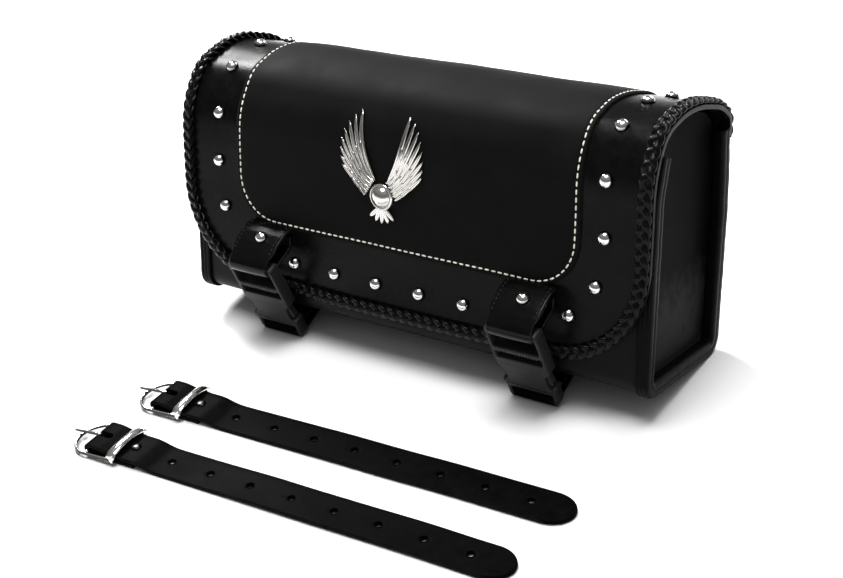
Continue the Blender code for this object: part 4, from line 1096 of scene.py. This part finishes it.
def hollow(socket, side):
    """Opens the socket's sleeve from below."""
    verts, faces = box_part((-13.2, 10, -2.5), (13.2, 32.6, 2.5))
    cutter = linked("sleeve", outward_mesh("sleeve", to_world(buckle_points(side, verts)), faces))
    cut = socket.modifiers.new("sleeve", "BOOLEAN")
    cut.operation = "DIFFERENCE"
    cut.object = cutter
    cut.solver = "EXACT"
    bpy.context.view_layer.update()
    done = bpy.data.meshes.new_from_object(socket.evaluated_get(bpy.context.evaluated_depsgraph_get()))
    socket.modifiers.clear()
    old = socket.data
    socket.data = done
    bpy.data.meshes.remove(old)
    bpy.data.objects.remove(cutter)
    done.shade_smooth()
    done.set_sharp_from_angle(angle=math.radians(35))


# ---------------------------------------------------------------- body
def body_track(inset=0.0, front_top=FRONT_TOP, back_top=BACK_TOP, steps=14):
    f, b, z, r = -HALF_D + inset, HALF_D - inset, BODY_BOTTOM + inset, BODY_R - inset
    leans = []
    for (height, angle, _), top in ((FRONT_LEAN, front_top), (BACK_LEAN, back_top)):
        start = height - inset * math.tan(angle / 2)
        leans.append((start, max(top - start, 0) * math.tan(angle)))
    (front_start, front_in), (back_start, back_in) = leans
    corners = [(f + front_in, front_top), (f, front_start), (f, z), (b, z), (b, back_start),
               (b - back_in, back_top)]
    return Track(rounded_path(corners, [FRONT_LEAN[2] - inset, r, r, BACK_LEAN[2] - inset], steps))


def body_sag(x, s):
    """The soft walls swell a little away from the stiff rims."""
    q = min(1.0, (HALF_W - 12 - abs(x)) / 60)
    q = max(q, 0.0)
    return 0.8 * q * (0.5 + soft(x, s, 0.012, 21.0)) + 0.25 * q * soft(x, s, 0.05, 31.0)


def make_body():
    track = body_track()
    s = np.arange(0, track.length + 1, 2.4)
    s[-1] = track.length
    u = np.linspace(-1, 1, 90)
    half = HALF_W - RIM_OUT
    sag = np.array([[body_sag(x, si) for x in u * half] for si in s])
    sag[track.at(s)[:, 1] < BODY_BOTTOM + 4] = 0
    sag[np.abs(s - track.length * 0.5) > track.length * 0.49] *= 0.4
    verts, faces, rim = closed_sheet(swept(track, s, u * half, sag), swept(track, s, u * half, -WRAP_T))
    wear_and_light = rim_wear(sag.size, rim)
    wear_and_light[sag.size:] = 0  # the inner side isn't rubbed
    wrap = make_object("body_wrap_leather", verts, faces, BODY_LEATHER, "bag", "black_leatherette", wear_and_light=wear_and_light)
    bevel(wrap, 0.7)
    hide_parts("body_wrap")
    for station, sign in ((4.0, -1), (track.length - 4.0, 1)):
        at, out = track.at(station), track.normal(station)
        row = np.array([(x, at[0] + out[0] * 0.25, at[1] + out[1] * 0.25)
                        for x in np.linspace(-140, 140, 200)])
        name = f"body_wrap_{'front' if sign < 0 else 'back'}_stitches"
        stitches(name, row, np.tile([0, float(sign), 0], (200, 1)), BLACK_THREAD, "bag", "black_leatherette",
                 4.2, 3.0, 0.7, 0.5, lift=0.3)
    for side, hand in SIDES:
        make_rim(side, hand)
        make_end_panel(side, hand)


def rim_section():
    """The binding's cross-section as (outward, x) pairs: ridged band, ridged edge and a leg tucked inside."""
    inner, reach = -6.6, HALF_W - 8.5
    section = [(0.25, reach)]
    for k in range(21):
        q = k / 20
        x = reach + 0.3 + (HALF_W - 0.7 - reach - 0.3) * q
        ridge = 0.42 * abs(math.sin(q * math.pi * 3)) ** 0.6
        section.append((RIM_OUT - 0.5 + ridge, x))
    section.append((RIM_OUT - 0.75, HALF_W - 0.25))
    for k in range(15):
        q = k / 14
        out = RIM_OUT - 1.1 + (inner + 0.6 - RIM_OUT + 1.1) * q
        ridge = 0.4 * abs(math.sin(q * math.pi * 2)) ** 0.6
        section.append((out, HALF_W - 0.45 + ridge))
    section += [(inner - 0.1, HALF_W - 0.8), (inner - 0.4, HALF_W - 2.0), (inner - 0.3, HALF_W - 6.0),
                (inner + 0.2, HALF_W - 7.3), (inner + 0.5, HALF_W - 7.3), (inner + 0.8, HALF_W - 2.2),
                (0.25, HALF_W - 2.0)]
    return section


def make_rim(side, hand):
    """Ridged binding round the sewn edges; its back leg runs on a little inside the lid."""
    track = body_track(back_top=131.0)
    s = np.append(np.arange(0, track.length, 1.1), track.length)
    p, n = track.at(s), track.normal(s)
    section = rim_section()
    ridges = range(1, 39)
    verts, wear_and_light = [], []
    for i in range(len(s)):
        grow = 0.12 * soft(s[i], side * 3, 0.25, 40) + 0.1 * soft(s[i], side, 0.06, 44)
        tuck = 0.35 * smooth_step(p[i, 1], 117, 121) if p[i, 0] > 0 else 0.0
        for k, (out, x) in enumerate(section):
            o = out + (grow - tuck if out > 0.5 else 0)
            verts.append((side * (x + (grow if x > HALF_W - 1 else 0)), p[i, 0] + n[i, 0] * o,
                          p[i, 1] + n[i, 1] * o))
            wear_and_light.append(0.4 * (0.5 + soft(s[i], k, 0.4, 50)) if k in ridges else 0.0)
    rim = make_object(f"rim_binding_{hand}_ridged", verts, ring_faces(len(s), len(section)), EDGING, "bag",
                      "edge_binding", wear_and_light=wear_and_light)
    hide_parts(f"rim_binding_{hand}")


def towards(middle, points, distance):
    """Points moved by a distance towards a middle point."""
    away = middle - points
    return points + away / np.linalg.norm(away, axis=1, keepdims=True) * distance


def make_end_panel(side, hand):
    """End panel, set in from the bag's edge, with the flange that is sewn to the wrap."""
    base = body_track(4.3, FRONT_TOP - 6, BACK_TOP - 2, 10)
    path = base.p
    crown = rounded_path([tuple(path[-1]), (path[-1][0], 133), (27, 141), (4, 146.6), (-10, 145.6),
                          (-29, 138), tuple(path[0])], [6, 20, 40, 40, 15], 8)
    loop_track = Track(np.concatenate([path, crown[1:-1], path[:1]]))
    count = 220
    ring_s = np.linspace(0, loop_track.length, count, endpoint=False)
    ring = loop_track.at(ring_s)
    middle = np.array([0.0, 70.0])
    flange_x, panel_x = HALF_W - RIM_OUT - 0.2, HALF_W - INSET
    # rows of points from the flange's edge inwards, each as (distance from the bag's middle, y, z)
    rows = []
    for depth, pull in ((flange_x, 0.0), ((flange_x + panel_x) / 2 + 1, 0.1), (panel_x + 1.4, 0.2),
                        (panel_x + 0.5, 0.6), (panel_x + 0.1, 1.6)):
        depths = np.where(ring_s <= base.length, depth, min(depth, panel_x + 0.6))
        rows.append(np.column_stack([depths, towards(middle, ring, pull)]))
    for q in (0.06, 0.14, 0.25, 0.38, 0.52, 0.66, 0.8, 0.92):
        at = ring + (middle - ring) * q
        swell = 0.9 * math.sin(min(q * 1.3, 1) * math.pi / 2)
        swells = [panel_x + (swell + 0.5 * soft(y, z, 0.03, 60 + side)) for y, z in at]
        rows.append(np.column_stack([swells, at]))
    rows.append(np.column_stack([np.full(count, panel_x + 1.0), middle + 0.02 * (ring - middle)]))
    faces = ring_faces(len(rows), count)
    del faces[-2]  # the outer end stays open for the back
    back = len(rows) * count
    for row, depths in ((rows[0], rows[0][:, 0]), (rows[2], np.full(count, panel_x - 1.7))):
        spread = towards(middle, ring, -0.42) - ring
        rows.append(np.column_stack([depths, row[:, 1:] + spread]))
    for k in range(count):
        j = (k + 1) % count
        faces.append((k, j, back + j, back + k))
        faces.append((back + k, back + j, back + count + j, back + count + k))
    faces.append(tuple(range(back + count, back + 2 * count)))
    verts = np.concatenate(rows) * [side, 1, 1]
    # Painted light: paler towards the bottom, as if lit from the floor; the top keeps the dark base colour,
    # standing for the lid's shadow.
    painted_floor_light = 1.6 * smooth_step(-verts[:, 2], -85, -12)
    end = make_object(f"end_panel_{hand}_leather", verts, faces, GUSSET, "bag", "end_leatherette", wear_and_light=painted_floor_light)
    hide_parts(f"end_panel_{hand}")


def make_inside():
    track = body_track(4.6, FRONT_TOP - 3, BACK_TOP - 3, 8)
    half = HALF_W - INSET - 1.8 - 1.4 - 0.6
    s = np.linspace(0, track.length, 110)
    u = np.linspace(-1, 1, 60)
    ripple = np.array([[0.5 * (0.5 + soft(q * 140, si, 0.04, 70)) * min(1, (1 - abs(q)) * 8) for q in u]
                       for si in s])
    verts, faces, _ = closed_sheet(swept(track, s, u * half, 0.0), swept(track, s, u * half, -0.7 - ripple))
    parts = [(verts, faces)]
    for side in (-1, 1):
        loop = [(side * half, a, b) for a, b in track.at(s)]
        wall = [(side * (half - 0.7), a * 0.985, b) for a, b in track.at(s)]
        m = len(loop)
        parts.append((loop + wall, [tuple(range(m)), tuple(range(2 * m - 1, m - 1, -1))]
                      + [(k, (k + 1) % m, m + (k + 1) % m, m + k) for k in range(m)]))
    v, f = join([(list(map(tuple, a)), b) for a, b in parts])
    lining = make_object("lining_cloth_box", v, f, CLOTH, "bag", "lining_cloth")
    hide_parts("lining")


def make_boards():
    """The stiffeners: one board bent round front, bottom and back, and one behind each end panel."""
    track = body_track(2.5, FRONT_TOP - 4, BACK_TOP - 4, 8)
    s = np.linspace(0, track.length, 120)
    u = np.linspace(-1, 1, 40)
    half = HALF_W - INSET - 5.6
    verts, faces, _ = closed_sheet(*[swept(track, s, u * half, h) for h in (0.0, -1.8)])
    bent = make_object("body_board_bent", verts, faces, BOARD, "bag", "fibreboard")
    bent.data.set_sharp_from_angle(angle=math.radians(45))
    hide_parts("body_board")
    for side, hand in SIDES:
        outer = HALF_W - INSET - 2.1
        z = np.linspace(BODY_BOTTOM + BODY_R, 106, 24)
        y = np.linspace(-36.7, 36.7, 24)
        yy, zz = np.meshgrid(y, z)
        grids = [np.stack([np.full(yy.shape, side * x), yy, zz], -1) for x in (outer, outer - 1.4)]
        verts, faces, _ = closed_sheet(*grids)
        flat = make_object(f"end_board_{hand}_flat", verts, faces, BOARD, "bag", "fibreboard")
        flat.data.set_sharp_from_angle(angle=math.radians(45))
        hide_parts(f"end_board_{hand}")


def make_hinge_strip():
    """Leather strip that joins the lid to the inside of the bag's back."""
    low, high = (37.75, 117.0), (40.6, 134.5)
    path = [low, (38.1, 119.0), (39.6, 122.0), (40.6, 126.0), high]
    fine = Track(np.array(path, float))
    points = fine.at(np.linspace(0, fine.length, 60))
    for _ in range(10):
        points[1:-1] = points[1:-1] * 0.5 + (points[:-2] + points[2:]) * 0.25
    strip, _ = ribbon("lid_hinge_strip", points, 0.0, 147.2, 1.1, LEATHER, "bag", "black_leatherette", 0.8,
                      60, round_edge=0.3, rides=False)
    ends = to_world([(0, 39.0, 119.5), (0, 39.6, 126.5)])
    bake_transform(strip)


def make_loops():
    surface = HALF_D + GAP + LOOP_T / 2
    for side, hand in SIDES:
        c = side * LOOP_X
        corners = [(c + 25.5, surface), (c + 17, surface), (c + 13, surface + 8), (c - 13, surface + 8),
                   (c - 17, surface), (c - 25.5, surface)]
        track = Track(rounded_path(corners, [2.2] * 4, 8))
        s = np.linspace(0, track.length, 70)
        z = LOOP_Z + np.linspace(-17, 17, 22)
        # swept in the plan view, so its first coordinate becomes z
        grids = [np.roll(swept(track, s, z, h), -1, axis=2) for h in (LOOP_T / 2, -LOOP_T / 2)]
        verts, faces, rim = closed_sheet(*grids)
        loop = make_object(f"strap_loop_{hand}_leather", verts, faces, STRAP_LEATHER, "bag", "strap_leather",
                           wear_and_light=rim_wear(len(s) * len(z), rim))
        bevel(loop, 0.5)
        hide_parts(f"strap_loop_{hand}")
        for k, x in enumerate((c - 23, c - 19.5, c + 19.5, c + 23)):
            row = np.array([(x, surface + LOOP_T / 2, LOOP_Z + q) for q in np.linspace(-15, 15, 40)])
            stitches(f"strap_loop_{hand}_stitches_{k + 1}", row, np.tile([0, 1.0, 0], (40, 1)), BLACK_THREAD,
                     "bag", "strap_leather", 3.4, 2.3, 0.65, 0.5)


# ---------------------------------------------------------------- mounting straps
STRAP_LOW = STRAP_T / 2 + 0.05
STRAP_REST = STRAP_LOW + STRAP_T + GAP
FIRST_HOLE = 54.0
HOLE_PITCH = 26.9
HOLES = 8
RIVET_X = 29.0
KEEPER_X = 22.0
KEEPER_Z = 6.4
FRAME_HALF = 13.2
FRAME_Z = BAR[1] - 1.6


def strap_track():
    """Middle line of a loose strap: short end on the ground, round the bar, over itself, out to the tip."""
    bend = WIRE + GAP + STRAP_T / 2
    over = BAR[1] + bend
    lead = [(35, STRAP_LOW), (17, STRAP_LOW), (BAR[0] + 1.5, BAR[1] - bend)]
    tail = [(8, over), (11, over - 0.1), (15.5, over - 1.1), (20, STRAP_REST + 0.6), (25, STRAP_REST + 0.15),
            (37, STRAP_REST), (41.5, STRAP_REST - 1.0), (46, STRAP_LOW + 0.5), (51, STRAP_LOW),
            (STRAP_L, STRAP_LOW)]
    rough = Track(np.concatenate([lead, arc(BAR, bend, -math.pi / 2 - 0.25, -math.pi * 1.5, 20), tail]))
    points = rough.at(np.linspace(0, rough.length, 560))
    for _ in range(8):
        points[1:-1] = points[1:-1] * 0.5 + (points[:-2] + points[2:]) * 0.25
    return Track(points)


def flat_strap(end, centres):
    """The strap laid out flat, with its holes and its prong slot, cut into pieces short enough to bend."""
    half = STRAP_W / 2
    slot_from, slot_to, slot_r = 24.0, 47.0, 1.9
    half_turn = np.linspace(-math.pi / 2, math.pi / 2, 9)
    tip = [(end - 15 + 15 * math.sin(a), half * math.cos(a)) for a in np.linspace(0, math.pi, 25)]
    outline = [(0.0, -half), (0.0, half)] + tip
    slot = [(slot_to - slot_r + slot_r * math.cos(a), slot_r * math.sin(a)) for a in half_turn]
    slot += [(slot_from + slot_r - slot_r * math.cos(a), -slot_r * math.sin(a)) for a in half_turn]
    circle = np.linspace(0, math.tau, 20, endpoint=False)
    holes = [[(c + 2.1 * math.cos(a), 2.1 * math.sin(a)) for a in circle] for c in centres]
    verts, faces = plate(outline, [slot] + holes, -STRAP_T / 2, STRAP_T / 2, 0.5)
    bm = bmesh.new()
    made = [bm.verts.new(v) for v in verts]
    for f in faces:
        try:
            bm.faces.new([made[i] for i in f])
        except ValueError:
            pass
    cuts = list(np.arange(2, 24, 3.0)) + list(np.arange(24, 50, 0.75)) + list(np.arange(50, 92, 1.5))
    for u in cuts + list(np.arange(92, end - 2, 4.0)):
        bmesh.ops.bisect_plane(bm, geom=bm.verts[:] + bm.edges[:] + bm.faces[:], plane_co=(u, 0, 0),
                               plane_no=(1, 0, 0))
    for y in (-8.0, -4.0, 4.0, 8.0):
        bmesh.ops.bisect_plane(bm, geom=bm.verts[:] + bm.edges[:] + bm.faces[:], plane_co=(0, y, 0),
                               plane_no=(0, 1, 0))
    bmesh.ops.triangulate(bm, faces=[f for f in bm.faces if len(f.verts) > 4])
    bm.verts.index_update()
    flat = [tuple(v.co) for v in bm.verts]
    faces = [tuple(v.index for v in f.verts) for f in bm.faces]
    bm.free()
    return flat, faces


def make_strap(place):
    m = strap_matrix(place)
    half = STRAP_W / 2
    track = strap_track()
    end = track.length
    seed = 80 if place == "front" else 90

    def on_strap(u, y, w):
        """A point u along the strap, y across it and w off its middle, with the strap's slight waves."""
        at, out = track.at(u), track.normal(np.array(u))
        free = min(max((u - 95) / 60, 0), 1)
        wave = 0.5 * (1 + noise.noise(Vector((u * 0.016, seed, 0)))) * free
        curl = 0.3 * (y / half) ** 2 * max(0.3 + noise.noise(Vector((u * 0.03, seed + 5, 0))), 0) * free
        sway = 0.5 * noise.noise(Vector((u * 0.015, seed + 9, 0))) * free
        return np.array([at[0] + out[0] * w, y + sway, at[1] + out[1] * w + wave + curl])

    centres = [end - (STRAP_L - FIRST_HOLE) + HOLE_PITCH * k for k in range(HOLES)]
    flat, faces = flat_strap(end, centres)
    verts = [on_strap(*v) for v in flat]
    wear_and_light_value = [min(1, max(0, (abs(v[1]) - half + 0.6) / 0.6)) for v in flat]
    strap = make_object(f"mounting_strap_{place}_leather", verts, faces, STRAP_LEATHER, f"strap_{place}",
                        "strap_leather", m, wear_and_light=wear_and_light_value)
    strap.data.set_sharp_from_angle(angle=math.radians(50))
    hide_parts(f"mounting_strap_{place}")
    around = np.linspace(0, math.tau, 21)
    rims = [tube([on_strap(c + 2.35 * math.cos(a), 2.35 * math.sin(a), -STRAP_T / 2) for a in around], 0.32,
                 8) for c in centres]
    v, f = join(rims)
    make_object(f"mounting_strap_{place}_hole_rims", v, f, STRAP_LEATHER, f"strap_{place}", "strap_leather",
                m)
    rivet = [(3.0, -0.2), (3.05, 0.3), (2.6, 0.85), (1.6, 1.15), (0.4, 1.22)]
    v, f = spin_profile(rivet, np.array([RIVET_X, 0, STRAP_REST + STRAP_T / 2 + 0.05]), np.array([0, 0, 1.0]),
                        24)
    head = make_object(f"strap_rivet_{place}_head", v, f, DARK_METAL, f"strap_{place}", "dark_metal", m)
    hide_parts(f"strap_rivet_{place}")
    make_strap_frame(place, m)
    make_prong(place, m)


def dense_route(route, step):
    """The same polyline with points no further apart than step."""
    out = []
    for a, b in zip(route, route[1:]):
        a, b = np.array(a, float), np.array(b, float)
        steps = max(int(np.linalg.norm(b - a) / step), 1)
        out += [a + (b - a) * k / steps for k in range(steps)]
    out.append(np.array(route[-1], float))
    return np.array(out)


def side_shade(part, segments):
    """Values that paint a wire's top bright and its lower half dark: a painted highlight on top, painted
    shade below.
    """
    heights = np.array(part[0])[:, 2].reshape(-1, segments)
    span = heights.max(axis=1, keepdims=True) - heights.min(axis=1, keepdims=True)
    share = (heights - heights.min(axis=1, keepdims=True)) / np.maximum(span, 1e-6)
    return list((0.95 * smooth_step(share, 0.6, 0.97)).ravel())


def keeper_bar(y_end):
    """The flat curved keeper across a strap, arched in its middle, from one side's y_end to the other's."""
    steps = 40
    section = [(-3.0, -0.2), (-3.0, 0.4), (-2.5, 0.85), (-1.2, 1.2), (0, 1.3), (1.2, 1.2), (2.5, 0.85),
               (3.0, 0.4), (3.0, -0.2), (0, 0.1)]
    verts = []
    for y in y_end - 2 * y_end * np.arange(steps + 1) / steps:
        q = min(1.0, abs(y) / FRAME_HALF)
        lift = 1.8 * (1 - q ** 2.2)
        drop = -1.3 * max(0.0, (abs(y) - FRAME_HALF + 1.2) / 2.2)
        width = 1.0 - 0.18 * (1 - q)
        verts += [np.array([KEEPER_X + a * width, y, KEEPER_Z + 0.05 + lift + drop + b]) for a, b in section]
    return verts, ring_faces(steps + 1, len(section))


def make_strap_frame(place, m):
    """Horseshoe of wire with a bar across it and a keeper."""
    half = FRAME_HALF
    legs = [(KEEPER_X + 1.8, FRAME_Z + 0.9), (14, FRAME_Z + 0.5), (6, FRAME_Z + 0.1)]
    bow = [(math.cos(a) * half * 0.92, math.sin(a) * half, FRAME_Z)
           for a in np.linspace(math.pi / 2, math.pi * 1.5, 33)]
    route = [(x, half, z) for x, z in legs] + bow + [(x, -half, z) for x, z in reversed(legs)]
    loop = tube(dense_route(route, 1.2), 1.08, 14)
    bar = tube([np.array([BAR[0], y, BAR[1]]) for y in np.linspace(-half, half, 24)], 1.05, 12)
    parts = [loop, bar, keeper_bar(half + 1.0)]
    for y in (-half, half):
        foot = [np.array([KEEPER_X + 0.3, y, FRAME_Z + 0.2]), np.array([KEEPER_X + 0.1, y * 1.01, 4.8]),
                np.array([KEEPER_X, y, 6.7])]
        parts.append(tube(foot, [1.5, 1.6, 1.5], 12, normal=(1, 0, 0)))
    v, f = join(parts)
    # Painted shade: the wire's and bar's lower halves are darkened and their tops kept bright; the keeper and
    # feet stay bright.
    wear_and_light = side_shade(loop, 14) + side_shade(bar, 12)
    wear_and_light += [1.0] * (len(v) - len(wear_and_light))
    wire = make_object(f"strap_buckle_frame_{place}_wire", v, f, WIRE_CHROME, f"strap_frame_{place}",
                       "chrome", m, wear_and_light=wear_and_light)
    wire.data.set_sharp_from_angle(angle=math.radians(48))
    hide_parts(f"strap_buckle_frame_{place}")


def make_prong(place, m):
    """A wire hooked round the bar and lying over the frame's bow."""
    thick = 1.0
    around = WIRE + GAP + thick
    rest_z = FRAME_Z + around
    route = [(p[0], 0, p[1]) for p in arc(BAR, around, -math.pi * 0.35, -math.pi * 1.5, 18)]
    route += [(BAR[0] - 5, 0, BAR[1] + around - 0.2), (-7, 0, rest_z + 0.9), (-12.5, 0, rest_z + 0.1),
              (-16.3, 0, rest_z - 0.1)]
    dense = dense_route(route, 1.0)
    radius = np.interp(np.arange(len(dense)), [0, len(dense) * 0.6, len(dense) - 1], [0.98, 0.98, 0.75])
    v, f = tube(dense, radius, 12, normal=(0, 1, 0))
    # Painted shade on the prong's lower half; its top is kept bright.
    prong = make_object(f"strap_buckle_prong_{place}_wire", v, f, WIRE_CHROME, f"strap_prong_{place}",
                        "chrome", m, wear_and_light=side_shade((v, f), 12))
    prong.data.set_sharp_from_angle(angle=math.radians(50))
    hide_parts(f"strap_buckle_prong_{place}")


# ---------------------------------------------------------------- build
make_lid()
make_panel()
make_braid()
make_studs()
make_emblem()
make_tabs()
make_anchors()
make_buckles()
make_body()
make_inside()
make_boards()
make_hinge_strip()
make_loops()
for place in STRAPS:
    make_strap(place)


# ---------------------------------------------------------------- stage, light and camera
def stage():
    mesh = bpy.data.meshes.new("floor")
    size = 6.0
    mesh.from_pydata([(-size, -size, 0), (size, -size, 0), (size, size, 0), (-size, size, 0)], [],
                     [(0, 1, 2, 3)])
    floor = linked("floor", mesh)
    m, tree, shader = new_material("floor_white", (0.92, 0.92, 0.92), 0.95)
    shader.inputs["Specular IOR Level"].default_value = 0.0
    # away from the object the floor glows, so that it stays white into the distance
    far = add(tree, "ShaderNodeVectorMath", operation="LENGTH")
    tree.links.new(object_coords(tree), far.inputs[0])
    tree.links.new(ramp(tree, far.outputs["Value"], 0.42, 1.1, 0.0, 0.95), shader.inputs["Emission Strength"])
    shader.inputs["Emission Color"].default_value = (1, 1, 1, 1)
    mesh.materials.append(m)


def area(name, place, target, size, power):
    data = bpy.data.lights.new(name, "AREA")
    data.shape = "RECTANGLE"
    data.size, data.size_y = size
    data.energy = power
    lamp = linked(name, data)
    lamp.location = place
    lamp.rotation_mode = "QUATERNION"
    lamp.rotation_quaternion = (Vector(target) - Vector(place)).to_track_quat("-Z", "Y")


def lights():
    world = bpy.data.worlds.new("studio")
    bpy.context.scene.world = world
    world.use_nodes = True
    tree = world.node_tree
    background = tree.nodes["Background"]
    background.inputs[0].default_value = (1, 1, 1, 1)
    up = add(tree, "ShaderNodeSeparateXYZ")
    tree.links.new(add(tree, "ShaderNodeTexCoord").outputs["Generated"], up.inputs[0])
    sky = ramp(tree, up.outputs[2], 0.0, 0.9, 0.06, 0.34)
    horizon = ramp(tree, up.outputs[2], 0.02, 0.2, 0.7, 0.0)
    tree.links.new(math_node(tree, "MAXIMUM", sky, horizon), background.inputs[1])
    area("overhead_softbox", (0.05, -0.02, 1.4), (0.02, 0.0, 0.05), (0.8, 0.6), 20)
    area("left_back_softbox", (-0.95, 0.58, 1.0), (-0.03, 0.05, 0.13), (0.36, 0.42), 32)
    area("right_back_softbox", (0.25, 1.25, 0.75), (0.05, 0.05, 0.13), (0.8, 0.35), 5)


FOCAL_PX = 1551
PHOTO_W = 843


def camera():
    yaw, pitch, roll = math.radians(34.28), math.radians(20.39), math.radians(0.15)
    ahead = Vector((-math.sin(yaw) * math.cos(pitch), math.cos(yaw) * math.cos(pitch), -math.sin(pitch)))
    right = Vector((math.cos(yaw), math.sin(yaw), 0))
    up = right.cross(ahead)
    cos, sin = math.cos(roll), math.sin(roll)
    right, up = right * cos + up * sin, up * cos - right * sin
    turn = Matrix((right, up, -ahead)).transposed().to_4x4()
    data = bpy.data.cameras.new("camera")
    data.sensor_width = 36
    data.lens = FOCAL_PX / PHOTO_W * data.sensor_width
    data.clip_start, data.clip_end = 0.05, 20
    eye = linked("camera", data)
    eye.matrix_world = BAG @ Matrix.Translation((0.4735, -0.7212, 0.3396)) @ turn
    bpy.context.scene.camera = eye


stage()
lights()
camera()
bpy.context.scene.view_settings.view_transform = "Standard"
